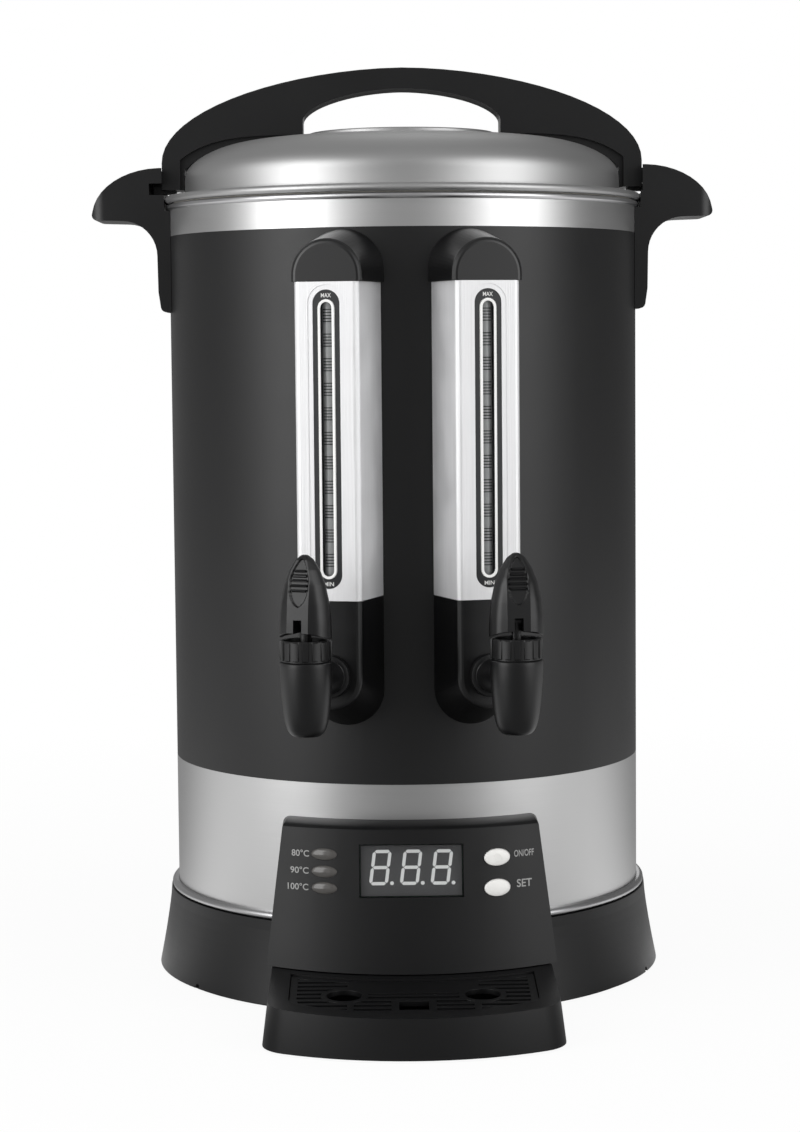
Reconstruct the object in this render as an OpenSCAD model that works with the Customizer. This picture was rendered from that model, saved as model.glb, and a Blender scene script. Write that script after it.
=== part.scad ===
// Hot water urn: a double-walled steel body with a lift-off lid, two level gauges with
// lever taps, a digital console and a pull-out drip tray.
// Millimetres. +Z is up, the taps face -Y, and the origin is on the body's axis at the
// height of the table.

/* [Body] */
// Outer diameter of the steel jacket and its bands
body_d = 250; // [249:0.5:251]
// Outer diameter of the inner tank
tank_d = 233; // [230:0.5:234]
// Thickness of the steel sheet
sheet_t = 0.8; // [0.6:0.1:0.9]
// Height of the plastic base skirt
base_h = 43.5; // [42.5:0.5:44]
// How far the skirt flares out from its top edge to the table
base_flare = 7; // [5:0.5:7]
// Height of the seam between the lower band and the painted jacket
band_seam_z = 115.5; // [113:0.5:117]
// Height of the seam between the painted jacket and the top band
top_seam_z = 393.5; // [393:0.5:394]
// Height of the tank's flange, where the lid sits
rim_z = 409; // [409:0.5:409.5]
// Height of the tank's floor
tank_floor_z = 130; // [128:1:134]

/* [Lid] */
// Radius of the lid's upright wall
lid_wall_r = 116.6; // [116.4:0.1:116.8]
// Rise of the domed crown above the lid's wall
lid_crown_h = 16; // [15:0.5:16.5]
// Radius of the raised disc in the middle of the crown
lid_disc_r = 50; // [44:1:51]
// Width of the lid handle from end to end
lid_handle_w = 256; // [255:0.5:256]
// Depth of the lid handle from front to back
lid_handle_t = 24; // [20:1:26]
// Width of the finger opening under the lid handle
lid_grip_w = 105.2; // [100:1:106]

/* [Gauges and taps] */
// Angle of each gauge from the middle of the front
gauge_angle = 14.5; // [14:0.5:15]
// How far the gauge's face stands out from the jacket
gauge_proud = 32; // [31:0.5:33]
// Bottom and top of the polished gauge cover
cover_z = [211, 366];
// Height of the tap's shank
shank_z = 174; // [173:0.5:175]
// Distance of the tap's axis from the gauge's face
tap_reach = 42; // [40:0.5:44]
// How far the tap's stem lifts at full flow
stem_lift = 4.2; // [4:0.1:4.4]

/* [Console and tray] */
// How far the console's top edge stands out from the body
console_proud = 15; // [14.5:0.5:15.5]
// How far the console's face leans out over its height
console_lean = 10; // [9:0.5:10]
// Half the width of the console at its top edge
console_half_w = 64; // [62:0.5:65]
// Travel of the two push buttons
button_travel = 1.2; // [0.8:0.1:1.2]
// Half the width of the drip tray at its rim
tray_half_w = 70.3; // [69:0.1:71]
// Distance of the tray's front edge from the body's axis
tray_front = 220; // [218:0.5:222]

/* [Hidden] */
$fn = 96;
eps = 0.05;
fine_gap = 0.15;
body_r = body_d / 2;
tank_r = tank_d / 2;
tank_in_r = tank_r - sheet_t;

black_plastic = [0.10, 0.10, 0.11];
steel = [0.78, 0.78, 0.78];
bright_steel = [0.90, 0.90, 0.92];
black_paint = [0.14, 0.14, 0.15];

// ---------------------------------------------------------------- shared shapes

// A ring about the body's axis.
module ring(r_out, r_in, z0, z1) {
    rotate_extrude() translate([r_in, z0]) square([r_out - r_in, z1 - z0]);
}

// A round bar along Y between y0 and y1.
module bar_y(r, y0, y1, x = 0, z = 0) {
    translate([x, y1, z]) rotate([90, 0, 0]) cylinder(r = r, h = y1 - y0);
}

// A round bar along X between x0 and x1.
module bar_x(r, x0, x1, y = 0, z = 0) {
    translate([x0, y, z]) rotate([0, 90, 0]) cylinder(r = r, h = x1 - x0);
}

// A block between two corners.
module block(low, high) {
    translate(low) cube(high - low);
}

// The space outside or inside the body between two heights.
module body_core(r, z0, z1) {
    translate([0, 0, z0]) cylinder(r = r, h = z1 - z0);
}

// Points of an arc, from angle a0 to a1 in n steps.
function arc(cx, cy, r, a0, a1, n) =
    [for (i = [0:n]) let (a = a0 + (a1 - a0) * i / n) [cx + r * cos(a), cy + r * sin(a)]];

// Points of a whole ellipse.
function oval(w, h, n = 36) = [for (i = [0:n - 1]) [w / 2 * cos(i * 360 / n), h / 2 * sin(i * 360 / n)]];

// Turns what faces -Y at the middle of the front to one gauge's place.
module at_gauge(side) {
    rotate([0, 0, side * gauge_angle]) children();
}

// ---------------------------------------------------------------- base

// The skirt's outer radius at a height.
function base_r(z) = body_r + 4 + base_flare * pow(1 - z / base_h, 1.3);
skirt_t = 2.5;
skirt_steps = 8;
skirt_low_z = 1.5;
ledge_r = 112;
ledge_z = [4, 6.5];
cover_screw_r = 117.5;
foot_r = [124.5, 132.4];
notch_angles = [-55.3, 68.4, 121, -108];
notch_r = 1.65;
notch_top_z = 4;
tongue_x = 35;
tongue_w = 20;
tongue_z = [8.9, 12.1];
tongue_gap = 0.6;

module skirt_profile() {
    heights = [for (i = [0:skirt_steps]) skirt_low_z + (base_h - skirt_low_z) * i / skirt_steps];
    lip_z = base_h - 4;
    polygon(concat(
        [for (z = heights) [base_r(z), z]],
        [[body_r + fine_gap, base_h], [body_r + fine_gap, lip_z]],
        [for (i = [skirt_steps - 2:-1:0]) [base_r(heights[i]) - skirt_t, heights[i]]]
    ));
}

module base_ring() {
    color(black_plastic) difference() {
        union() {
            rotate_extrude() skirt_profile();
            rotate_extrude() polygon([
                [ledge_r, ledge_z[0]], [base_r(ledge_z[0]) - 1, ledge_z[0]],
                [base_r(ledge_z[1]) - 1, ledge_z[1]], [ledge_r, ledge_z[1]],
            ]);
        }
        for (a = notch_angles) rotate([0, 0, a]) {
            block([-notch_r, -base_r(0) - 2, 0], [notch_r, -foot_r[1] - 0.2, notch_top_z - notch_r]);
            bar_y(notch_r, -base_r(0) - 2, -foot_r[1] - 0.2, 0, notch_top_z - notch_r);
        }
        for (x = [-tongue_x, tongue_x])
            block([x - tongue_w / 2 - 1, -base_r(0) - 2, tongue_z[0] - tongue_gap],
                  [x + tongue_w / 2 + 1, -ledge_r, tongue_z[1] + tongue_gap]);
        for (a = [45:90:315])
            rotate([0, 0, a]) translate([cover_screw_r, 0, 0]) cylinder(r = 1.6, h = 20);
    }
}

trim_h = 4;
trim_r = body_r + 3.6;

module base_trim_ring() {
    bead_r = trim_h / 2;
    color(bright_steel) rotate_extrude() difference() {
        union() {
            translate([trim_r - bead_r, base_h + bead_r]) circle(r = bead_r);
            translate([body_r, base_h]) square([trim_r - bead_r - body_r, trim_h]);
        }
        translate([0, base_h - 1]) square([body_r + fine_gap, trim_h + 2]);
    }
}

bottom_z = [2.4, 3.9];

module bottom_cover() {
    slot_l = 34;
    color(steel) difference() {
        body_core(foot_r[0] - 0.5, bottom_z[0], bottom_z[1]);
        for (a = [45:90:315]) rotate([0, 0, a]) translate([cover_screw_r, 0, 0])
            cylinder(r = 1.8, h = 10);
        for (x = [-42:12:42])
            block([x - 2, -slot_l / 2, 0], [x + 2, slot_l / 2, 10]);
    }
}

// The rubber ring that the urn stands on, set under the skirt's ledge.
module foot_ring() {
    color([0.08, 0.08, 0.08]) ring(foot_r[1], foot_r[0], 0, ledge_z[0]);
}

module base_screws() {
    color(steel) for (a = [45:90:315])
        rotate([0, 0, a]) translate([cover_screw_r, 0, 0]) {
            translate([0, 0, bottom_z[0] - 2.2]) cylinder(r = 3.2, h = 2.2);
            translate([0, 0, bottom_z[0] - eps]) cylinder(r = 1.6, h = 9);
        }
}

// ---------------------------------------------------------------- body walls

sleeve_h = 8;
inlet_z = 66;
inlet_hole = [28, 21];
inlet_screw_x = 20;
inlet_screw_r = 1.7;
wire_hole = [34, 18];
wire_z = 72;
vent_z = 376;
shank_r = 6.5;
vent_r = 4;
hole_gap = 0.2;
handle_screw_z = 368;
handle_screw_y = 12;
handle_screw_r = 1.9;

// A sleeve inside a seam, which joins two bands.
module seam_sleeve(z) {
    ring(body_r - sheet_t + eps, body_r - 2 * sheet_t, z - sleeve_h, z - eps);
    ring(body_r - sheet_t - fine_gap, body_r - 2 * sheet_t, z - 2 * eps, z + sleeve_h);
}

module lower_band() {
    color(steel) difference() {
        union() {
            ring(body_r, body_r - sheet_t, base_h - 3, band_seam_z);
            seam_sleeve(band_seam_z);
        }
        block([-inlet_hole[0] / 2, 0, inlet_z - inlet_hole[1] / 2],
              [inlet_hole[0] / 2, body_r + 5, inlet_z + inlet_hole[1] / 2]);
        for (x = [-inlet_screw_x, inlet_screw_x])
            bar_y(inlet_screw_r + hole_gap, 90, body_r + 5, x, inlet_z);
        block([-wire_hole[0] / 2, -body_r - 5, wire_z - wire_hole[1] / 2],
              [wire_hole[0] / 2, 0, wire_z + wire_hole[1] / 2]);
        for (x = [-screw_boss[0], screw_boss[0]]) bar_y(1.8, -body_r - 5, -90, x, screw_boss[1]);
    }
}

// The holes that the taps, the gauge fittings and the handle screws pass through.
module body_holes() {
    for (side = [-1, 1]) {
        at_gauge(side) {
            bar_y(shank_r + hole_gap, -body_r - 5, -tank_r + 10, 0, shank_z);
            bar_y(vent_r + hole_gap, -body_r - 5, -tank_r + 10, 0, vent_z);
        }
        for (y = [-handle_screw_y, handle_screw_y])
            bar_x(handle_screw_r + hole_gap, side * body_r - 6, side * body_r + 6, y, handle_screw_z);
    }
}

module outer_shell() {
    color(black_paint) difference() {
        ring(body_r, body_r - sheet_t, band_seam_z, top_seam_z);
        body_holes();
    }
}

band_top_z = rim_z - 1.8;

module top_band() {
    color(steel) union() {
        ring(body_r, body_r - sheet_t, top_seam_z, band_top_z);
        ring(body_r - sheet_t + eps, body_r - 2 * sheet_t, top_seam_z + eps, top_seam_z + sleeve_h);
        ring(body_r - sheet_t - fine_gap, body_r - 2 * sheet_t, top_seam_z - sleeve_h,
             top_seam_z + 2 * eps);
    }
}

rim_bead_r = 1.4;

module inner_tank() {
    color(bright_steel) difference() {
        union() {
            ring(tank_r, tank_in_r, tank_floor_z - sheet_t, rim_z);
            ring(body_r, tank_in_r, rim_z - sheet_t, rim_z);
            translate([0, 0, tank_floor_z - sheet_t]) cylinder(r = tank_r, h = sheet_t);
            rotate_extrude() translate([body_r + 0.2, rim_z - 0.3]) circle(r = rim_bead_r, $fn = 32);
        }
        body_holes();
    }
}

// ---------------------------------------------------------------- heating and power

heater_r = 80;
heater_z = [120, tank_floor_z - sheet_t - eps];
element_r = 62;
sensor_hole_r = 11;

module heating_element() {
    color([0.72, 0.72, 0.74]) {
        ring(heater_r, sensor_hole_r, heater_z[0], heater_z[1]);
        rotate_extrude() translate([element_r, heater_z[0] - 2]) circle(r = 4.2, $fn = 32);
        for (x = [-9, 9])
            bar_y(2, element_r - 3, element_r + 22, x, heater_z[0] - 2);
    }
}

thermostat_places = [[-34, 22], [34, 22]];

module thermostats() {
    color([0.55, 0.50, 0.42]) for (p = thermostat_places)
        translate([p[0], p[1], heater_z[0] - 10]) {
            cylinder(r = 8, h = 10 - eps);
            for (x = [-4.5, 4.5])
                translate([x - 0.4, -3.1, -7]) cube([0.8, 6.2, 7 + eps]);
        }
}

module temperature_sensor() {
    color(bright_steel) {
        translate([0, 0, heater_z[0] - 6]) cylinder(r = 4, h = heater_z[1] - heater_z[0] + 6);
        translate([0, 0, heater_z[0] - 12]) cylinder(r = 2.2, h = 7);
    }
}

shield_z = 98;

module heat_shield() {
    color(steel) difference() {
        union() {
            body_core(body_r - 3, shield_z, shield_z + 0.8);
            ring(body_r - 3, body_r - 3.8, shield_z, shield_z + 5);
        }
        translate([0, 0, shield_z - 1]) cylinder(r = 9, h = 5);
    }
}

board_size = [96, 64, 1.6];
board_y = 30;
board_z = 24;

module power_board() {
    top = board_z + board_size[2] - eps;
    color([0.10, 0.35, 0.18]) {
        translate([-board_size[0] / 2, board_y - board_size[1] / 2, board_z]) cube(board_size);
        for (x = [-36, -12]) translate([x, board_y - 10, top]) cube([19, 15, 16]);
        translate([22, board_y, top]) cylinder(r = 8, h = 22);
        translate([16, board_y - 26, top]) cube([26, 9, 13]);
        for (x = [-42, 42], y = [-27, 27]) translate([x, board_y + y, bottom_z[1]])
            cylinder(r = 3, h = board_z - bottom_z[1] + eps);
    }
}

inlet_face = [50, 28];
inlet_face_y = body_r + 3.5;
inlet_depth = 24;
socket_size = [24.6, 16.6];
socket_depth = 16.5;
pin_l = 11.5;

module power_inlet() {
    color(black_plastic) difference() {
        union() {
            block([-inlet_face[0] / 2, body_r - 8, inlet_z - inlet_face[1] / 2],
                  [inlet_face[0] / 2, inlet_face_y, inlet_z + inlet_face[1] / 2]);
            block([-13.8, body_r - inlet_depth, inlet_z - 10.2],
                  [13.8, inlet_face_y - eps, inlet_z + 10.2]);
        }
        difference() {
            block([-30, body_r - 12, inlet_z - 20], [30, body_r + 1, inlet_z + 20]);
            translate([0, 0, inlet_z - 21]) difference() {
                cylinder(r = body_r + 30, h = 42);
                translate([0, 0, -1]) cylinder(r = body_r + fine_gap, h = 44);
            }
            block([-13.8, body_r - inlet_depth, inlet_z - 10.2],
                  [13.8, inlet_face_y, inlet_z + 10.2]);
        }
        block([-socket_size[0] / 2, inlet_face_y - socket_depth, inlet_z - socket_size[1] / 2],
              [socket_size[0] / 2, inlet_face_y + 1, inlet_z + socket_size[1] / 2]);
        for (x = [-inlet_screw_x, inlet_screw_x])
            bar_y(inlet_screw_r + 0.1, body_r - 10, inlet_face_y + 1, x, inlet_z);
    }
    color(steel) {
        for (p = [[-7, -2], [7, -2], [0, 2]])
            block([p[0] - 1, body_r - inlet_depth - 7, inlet_z + p[1] - 2],
                  [p[0] + 1, inlet_face_y - socket_depth + pin_l, inlet_z + p[1] + 2]);
        for (x = [-inlet_screw_x, inlet_screw_x]) {
            bar_y(3.2, inlet_face_y + eps, inlet_face_y + 1.8, x, inlet_z);
            bar_y(inlet_screw_r, body_r - 6, inlet_face_y + 2 * eps, x, inlet_z);
        }
    }
}

// ---------------------------------------------------------------- side handles

handle_t = 44;
handle_tip_r = 9;
grip_centre = [128, 403];
grip_rx = 37;
grip_rz = 26.5;
strap_x = 130.3;
strap_low_z = 353.2;
under_z = 401.8;
under_r = 18.6;
tip_r = 3;
lid_bead_x = 125.6;
lid_bead_r = 2;
lid_bead_z = 412.8;
pocket_r = lid_bead_x + lid_bead_r + 0.6;
pocket_top_z = lid_bead_z + 2.6;
leg_clear_r = 129.3;
slot_x = 134.2;
slot_z = [pocket_top_z, 421.4];
slot_half = 5.2;

module handle_profile() {
    tip_x = grip_centre[0] + grip_rx;
    polygon(concat(
        [[body_r - 8, strap_low_z], [strap_x - 5, strap_low_z]],
        arc(strap_x - 4.6, strap_low_z + 3.4, 3.2, -60, -15, 3),
        [[strap_x - 0.3, strap_low_z + 11]],
        arc(strap_x + under_r, under_z - under_r, under_r, 180, 90, 10),
        arc(tip_x - tip_r, under_z + tip_r + 0.4, tip_r, -90, 0, 4),
        [for (a = [8:8:88]) [grip_centre[0] + grip_rx * cos(a), grip_centre[1] + grip_rz * sin(a)]],
        [[body_r - 8, grip_centre[1] + grip_rz]]
    ));
}

// The right handle. Its lock slot opens to the rear.
module side_handle() {
    color(black_plastic) difference() {
        intersection() {
            rotate([90, 0, 0]) linear_extrude(handle_t, center = true) handle_profile();
            translate([0, 0, strap_low_z - 5]) linear_extrude(100) union() {
                reach = grip_centre[0] + grip_rx + 2;
                translate([100, -handle_t / 2]) square([reach - 100 - handle_tip_r, handle_t]);
                translate([100, -handle_t / 2 + handle_tip_r])
                    square([reach - 100, handle_t - 2 * handle_tip_r]);
                for (s = [-1, 1])
                    translate([reach - handle_tip_r, s * (handle_t / 2 - handle_tip_r)])
                        circle(r = handle_tip_r);
            }
        }
        body_core(body_r + fine_gap, strap_low_z - 5, rim_z - 1.8);
        body_core(pocket_r, rim_z - 1.9, pocket_top_z);
        body_core(leg_clear_r, pocket_top_z - eps, 440);
        block([110, -slot_half, slot_z[0] - eps], [slot_x, handle_t, slot_z[1]]);
        block([110, -slot_half, slot_z[0]], [slot_x, slot_half, 440]);
        for (y = [-handle_screw_y, handle_screw_y]) {
            bar_x(handle_screw_r + hole_gap, body_r - 8, strap_x + 5, y, handle_screw_z);
            bar_x(4.2, strap_x - 2.6, strap_x + 5, y, handle_screw_z);
        }
    }
}

module right_side_handle() {
    side_handle();
}

module left_side_handle() {
    rotate([0, 0, 180]) side_handle();
}

module side_handle_screws() {
    color(steel) for (turn = [0, 180], y = [-handle_screw_y, handle_screw_y])
        rotate([0, 0, turn]) difference() {
            union() {
                bar_x(3.8, strap_x - 2.5, strap_x - 0.5, y, handle_screw_z);
                bar_x(handle_screw_r, body_r - 6, strap_x - 2.4, y, handle_screw_z);
            }
            block([strap_x - 1.4, y - 0.5, handle_screw_z - 2.6],
                  [strap_x + 1, y + 0.5, handle_screw_z + 2.6]);
            block([strap_x - 1.4, y - 2.6, handle_screw_z - 0.5],
                  [strap_x + 1, y + 2.6, handle_screw_z + 0.5]);
        }
}

// ---------------------------------------------------------------- gauges

gauge_face_y = -(body_r + gauge_proud);
gauge_w = 16.3;
gauge_edge = 2.7;
foot_w = 19.3;
foot_y = -body_r + 4;
gauge_centres = [173, 369.2];
foot_centres = [163.4, 372.4];
cap_grow = 1.6;
sheet_gap = 1;
cap_gap = 0.15;
tube_y = gauge_face_y + 7;
tube_r = 4;
tube_z = [183.5, 368.5];
plate_w = 13.2;
plate_z = [217, 362];
plate_t = 1.6;
plate_recess = 0.6;
window_w = 5.7;
window_z = [222.9, 356.2];
bezel_w = 1.35;
bezel_h = 0.5;
groove_gap = 2.6;

// Half widths of the gauge at distances behind its face, round the edge.
gauge_steps = [for (a = [0:22.5:90]) [gauge_edge * (1 - cos(a)), gauge_w - gauge_edge * (1 - sin(a))]];

// The gauge's whole outer form: round-ended, and wider where it meets the body.
module gauge_form(grow = 0) {
    hull() {
        for (s = gauge_steps, z = gauge_centres)
            translate([0, gauge_face_y + s[0], z]) rotate([-90, 0, 0])
                cylinder(r = s[1] + grow, h = 0.1, $fn = 64);
        for (z = foot_centres)
            translate([0, foot_y, z]) rotate([90, 0, 0])
                cylinder(r = foot_w + grow, h = 0.1, $fn = 64);
    }
}

// The gauge's plan between its round ends, drawn in by an inset.
module gauge_plan(inset = 0) {
    right = concat(
        [[foot_w - inset, foot_y]],
        [for (i = [len(gauge_steps) - 1:-1:0])
            [gauge_steps[i][1] - inset, gauge_face_y + gauge_steps[i][0] + inset]]
    );
    polygon(concat(right, [for (i = [len(right) - 1:-1:0]) [-right[i][0], right[i][1]]]));
}

// A round-ended slot through the gauge's face.
module face_slot(w, z, y0, y1) {
    block([-w / 2, y0, z[0] + w / 2], [w / 2, y1, z[1] - w / 2]);
    for (c = [z[0] + w / 2, z[1] - w / 2]) bar_y(w / 2, y0, y1, 0, c);
}

module gauge_housing() {
    channel_x = plate_w / 2 + 0.15;
    color(black_plastic) difference() {
        union() {
            intersection() {
                gauge_form();
                block([-30, gauge_face_y - 5, 100], [30, 0, cover_z[0] - cap_gap]);
            }
            translate([0, 0, cover_z[0] - cap_gap - eps])
                linear_extrude(cover_z[1] - cover_z[0] + cap_gap) gauge_plan(sheet_gap + 0.05);
        }
        body_core(body_r + fine_gap, 100, 400);
        block([-channel_x, gauge_face_y - 5, plate_z[0] - 0.2],
              [channel_x, gauge_face_y + 12.5, plate_z[1] + 0.2]);
        bar_z(tube_r + 2, tube_y, shank_z, cover_z[1] + 1);
        block([-13, gauge_face_y + 16, 186], [13, 0, cover_z[1] - 4]);
        bar_y(shank_r + hole_gap, gauge_face_y - 5, 0, 0, shank_z);
    }
}

// A round bar along Z in a gauge's own plane.
module bar_z(r, y, z0, z1) {
    translate([0, y, z0]) cylinder(r = r, h = z1 - z0);
}

module gauge_cap() {
    color(black_plastic) difference() {
        intersection() {
            gauge_form(cap_grow);
            block([-30, gauge_face_y - 5, cover_z[1] + cap_gap], [30, 0, 400]);
        }
        body_core(body_r + fine_gap, 100, 400);
        bar_z(tube_r + 2, tube_y, cover_z[1] - 1, 372);
        bar_z(2, tube_y, 371, vent_z);
        bar_y(vent_r + 0.05, tube_y - 3, 0, 0, vent_z);
    }
}

module gauge_cover() {
    groove_w = plate_w + 2 * groove_gap;
    color(bright_steel) difference() {
        translate([0, 0, cover_z[0]]) linear_extrude(cover_z[1] - cover_z[0]) difference() {
            gauge_plan();
            gauge_plan(sheet_gap);
            translate([-30, foot_y - eps]) square([60, 10]);
        }
        body_core(body_r + fine_gap, 100, 400);
        face_slot(plate_w + 0.4, [plate_z[0] - 0.2, plate_z[1] + 0.2], gauge_face_y - 1, gauge_face_y + 3);
        face_slot(groove_w, [plate_z[0] - groove_gap, plate_z[1] + groove_gap],
                  gauge_face_y - 1, gauge_face_y + 0.35);
    }
}

module scale_plate() {
    front = gauge_face_y + plate_recess;
    bezel = window_w + 2 * bezel_w;
    bezel_z = [window_z[0] - bezel_w, window_z[1] + bezel_w];
    color([0.20, 0.20, 0.21]) difference() {
        union() {
            face_slot(plate_w, plate_z, front, front + plate_t);
            face_slot(bezel, bezel_z, front - bezel_h, front + eps);
        }
        face_slot(window_w, window_z, front - 2, front + plate_t + 1);
    }
}

module sight_tube() {
    color([0.75, 0.80, 0.82, 0.5]) difference() {
        bar_z(tube_r, tube_y, tube_z[0], tube_z[1]);
        bar_z(tube_r - 1, tube_y, tube_z[0] - 1, tube_z[1] + 1);
    }
}

// Each seal is a cup that holds one end of the sight tube.
module tube_seals() {
    color([0.85, 0.84, 0.80]) for (end = [0, 1]) {
        z0 = end == 0 ? shank_z + shank_r + 0.3 : tube_z[1] - 5;
        z1 = end == 0 ? tube_z[0] + 6 : 372 - eps;
        difference() {
            bar_z(tube_r + 1.95, tube_y, z0, z1);
            bar_z(tube_r + 0.03, tube_y, end == 0 ? tube_z[0] - 0.02 : z0 - 1,
                  end == 0 ? z1 + 1 : tube_z[1] + 0.02);
            bar_z(1.8, tube_y, z0 - 1, z1 + 1);
        }
    }
}

nut_r = 12.5;
washer_r = 11;
wall_y = -tank_in_r;

// A ring-shaped piece along Y: a washer, or a nut with six sides.
module nut(y0, y1, r, bore, z, sides = 6) {
    difference() {
        translate([0, y1, z]) rotate([90, 0, 0]) cylinder(r = r, h = y1 - y0, $fn = sides);
        bar_y(bore, y0 - 1, y1 + 1, 0, z);
    }
}

// What holds a gauge and its tap to the tank: shank nut and washer, vent screw, nut and washer.
module tank_fittings() {
    color([0.80, 0.72, 0.45]) {
        nut(wall_y + 2.7, wall_y + 9, nut_r, shank_r, shank_z);
        nut(wall_y + 2.7, wall_y + 6.5, 8, vent_r, vent_z);
        difference() {
            bar_y(vent_r, tube_y - 2.8, wall_y + 9, 0, vent_z);
            bar_y(1.8, tube_y, wall_y + 10, 0, vent_z);
            bar_z(1.8, tube_y, vent_z - 6, vent_z);
        }
    }
    color([0.85, 0.84, 0.80]) {
        nut(wall_y + 0.65, wall_y + 2.6, washer_r, shank_r, shank_z, 96);
        nut(wall_y + 0.65, wall_y + 2.6, 7.5, vent_r, vent_z, 96);
    }
}

// ---------------------------------------------------------------- taps

tap_y = gauge_face_y - tap_reach;
shank_bore = 4;
neck_r = 8.2;
collar_flange_r = 10.6;
spout_top_z = shank_z + 12.2;
outlet_z = 150.7;
chamber_r = 8.6;
seat_z = 168.5;
seat_r = 4.2;
outlet_r = 5;
bonnet_r = 12.5;
bonnet_top_z = spout_top_z + 10.4;
bonnet_ribs = 22;
stem_r = 3;
stem_gap = 0.05;
pin_z = 204.7;
pin_r = 1.5;
pin_half = 9.5;
blade_t = 3.9;
lever_slot = 4.3;
lever_z = [197, 236.8];
lever_turn = -9;
foot_arch_r = 28.4;
foot_arch_h = 3.2;
slot_top_z = 206.7;
spring_z = [176.1, 185.6];
flats_z = 188.2;

module tap_spout_profile() {
    polygon([
        [0, outlet_z], [6.4, outlet_z], [8.3, 152.4], [9.4, 154.6], [10.6, 159], [11.6, 167],
        [12.4, 177], [12.7, spout_top_z], [0, spout_top_z],
    ]);
}

module tap_body() {
    color(black_plastic) difference() {
        union() {
            translate([0, tap_y, 0]) rotate_extrude() tap_spout_profile();
            bar_y(neck_r, tap_y, gauge_face_y - 0.1, 0, shank_z);
            bar_y(collar_flange_r, gauge_face_y - 3.4, gauge_face_y - 0.1, 0, shank_z);
            bar_y(shank_r - 0.02, gauge_face_y - 1, wall_y + 12, 0, shank_z);
        }
        bar_y(shank_bore, tap_y, wall_y + 13, 0, shank_z);
        bar_z(1.8, tube_y, shank_z, shank_z + 10);
        bar_z(chamber_r, tap_y, seat_z, spout_top_z + 1);
        bar_z(seat_r, tap_y, outlet_z - 1, seat_z + 1);
        bar_z(outlet_r, tap_y, outlet_z - 1, outlet_z + 11);
    }
}

module tap_bonnet() {
    color(black_plastic) difference() {
        union() {
            bar_z(bonnet_r, tap_y, spout_top_z + 0.1, bonnet_top_z);
            bar_z(chamber_r - 0.1, tap_y, spring_z[1] + 0.1, spout_top_z + 0.2);
        }
        bar_z(stem_r + stem_gap, tap_y, 172, 212);
        bar_z(bonnet_r - 2.3, tap_y, bonnet_top_z - 3.5, bonnet_top_z + 1);
        for (i = [0:bonnet_ribs - 1])
            translate([0, tap_y, 0]) rotate([0, 0, i * 360 / bonnet_ribs])
                translate([bonnet_r + 0.3, 0, spout_top_z + 1.2]) cylinder(r = 0.95, h = 10, $fn = 16);
    }
}

// Turned about the tap's own upright axis.
module turned() {
    translate([0, tap_y, 0]) rotate([0, 0, lever_turn]) translate([0, -tap_y, 0]) children();
}

// The stem: round in the bonnet's bore, with two flats above that the lever straddles.
module tap_stem() {
    color(black_plastic) difference() {
        union() {
            bar_z(stem_r, tap_y, 172.7, flats_z);
            bar_z(6.4, tap_y, 174.7, spring_z[0] - 0.1);
            intersection() {
                bar_z(stem_r, tap_y, flats_z - eps, pin_z);
                block([-blade_t / 2, tap_y - stem_r, flats_z - 1], [blade_t / 2, tap_y + stem_r, pin_z]);
            }
            bar_x(stem_r, -blade_t / 2, blade_t / 2, tap_y, pin_z);
        }
        bar_x(pin_r + stem_gap, -blade_t, blade_t, tap_y, pin_z);
    }
}

module seat_cup() {
    color([0.88, 0.86, 0.80]) difference() {
        bar_z(6.9, tap_y, seat_z + 0.35, 174.6);
        bar_z(stem_r, tap_y, 172.6, 176.5);
    }
}

module tap_spring() {
    coils = 3;
    wire_r = 0.45;
    color(steel) translate([0, tap_y, spring_z[0] + wire_r])
        linear_extrude(spring_z[1] - spring_z[0] - 2 * wire_r, twist = -360 * coils, $fn = 10, slices = 60)
            translate([4.3, 0]) circle(r = wire_r);
}

// The lever's half width and half depth at heights above its foot.
function lever_rings() = [
    [0, 13.1, 9.6], [9, 12.9, 9.4], [17, 12.1, 8.7], [26, 10.2, 7.3], [33, 7.4, 5.5], [37.8, 4.3, 3.4],
    [39.7, 1.7, 1.6],
];

module tap_lever() {
    color(black_plastic) difference() {
        hull() for (r = lever_rings())
            translate([0, tap_y, lever_z[0] + r[0]]) linear_extrude(0.1)
                polygon(oval(2 * r[1], 2 * r[2], 28));
        bar_y(foot_arch_r, tap_y - 15, tap_y + 15, 0, lever_z[0] + foot_arch_h - foot_arch_r);
        block([-lever_slot / 2, tap_y - 20, 190], [lever_slot / 2, tap_y + stem_r + 0.4, slot_top_z]);
        bar_x(stem_r + 0.4, -lever_slot / 2, lever_slot / 2, tap_y, pin_z);
        bar_x(pin_r, -pin_half - 0.3, pin_half + 0.3, tap_y, pin_z);
    }
}

module tap_pin() {
    color(steel) bar_x(pin_r - 0.01, -pin_half, pin_half, tap_y, pin_z);
}

// ---------------------------------------------------------------- console

console_top_z = 96.2;
console_foot_z = 25.5;
console_r = body_r + console_proud;
console_t = 2.5;
side_lean = 0.124;
tray_back = -131;
tray_slope = atan(5 / 89);
panel_tilt = atan(console_lean / (console_top_z - console_foot_z));

// The console face's radius at a height.
function panel_r(z) = console_r + console_lean * (console_top_z - z) / (console_top_z - console_foot_z);

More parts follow.
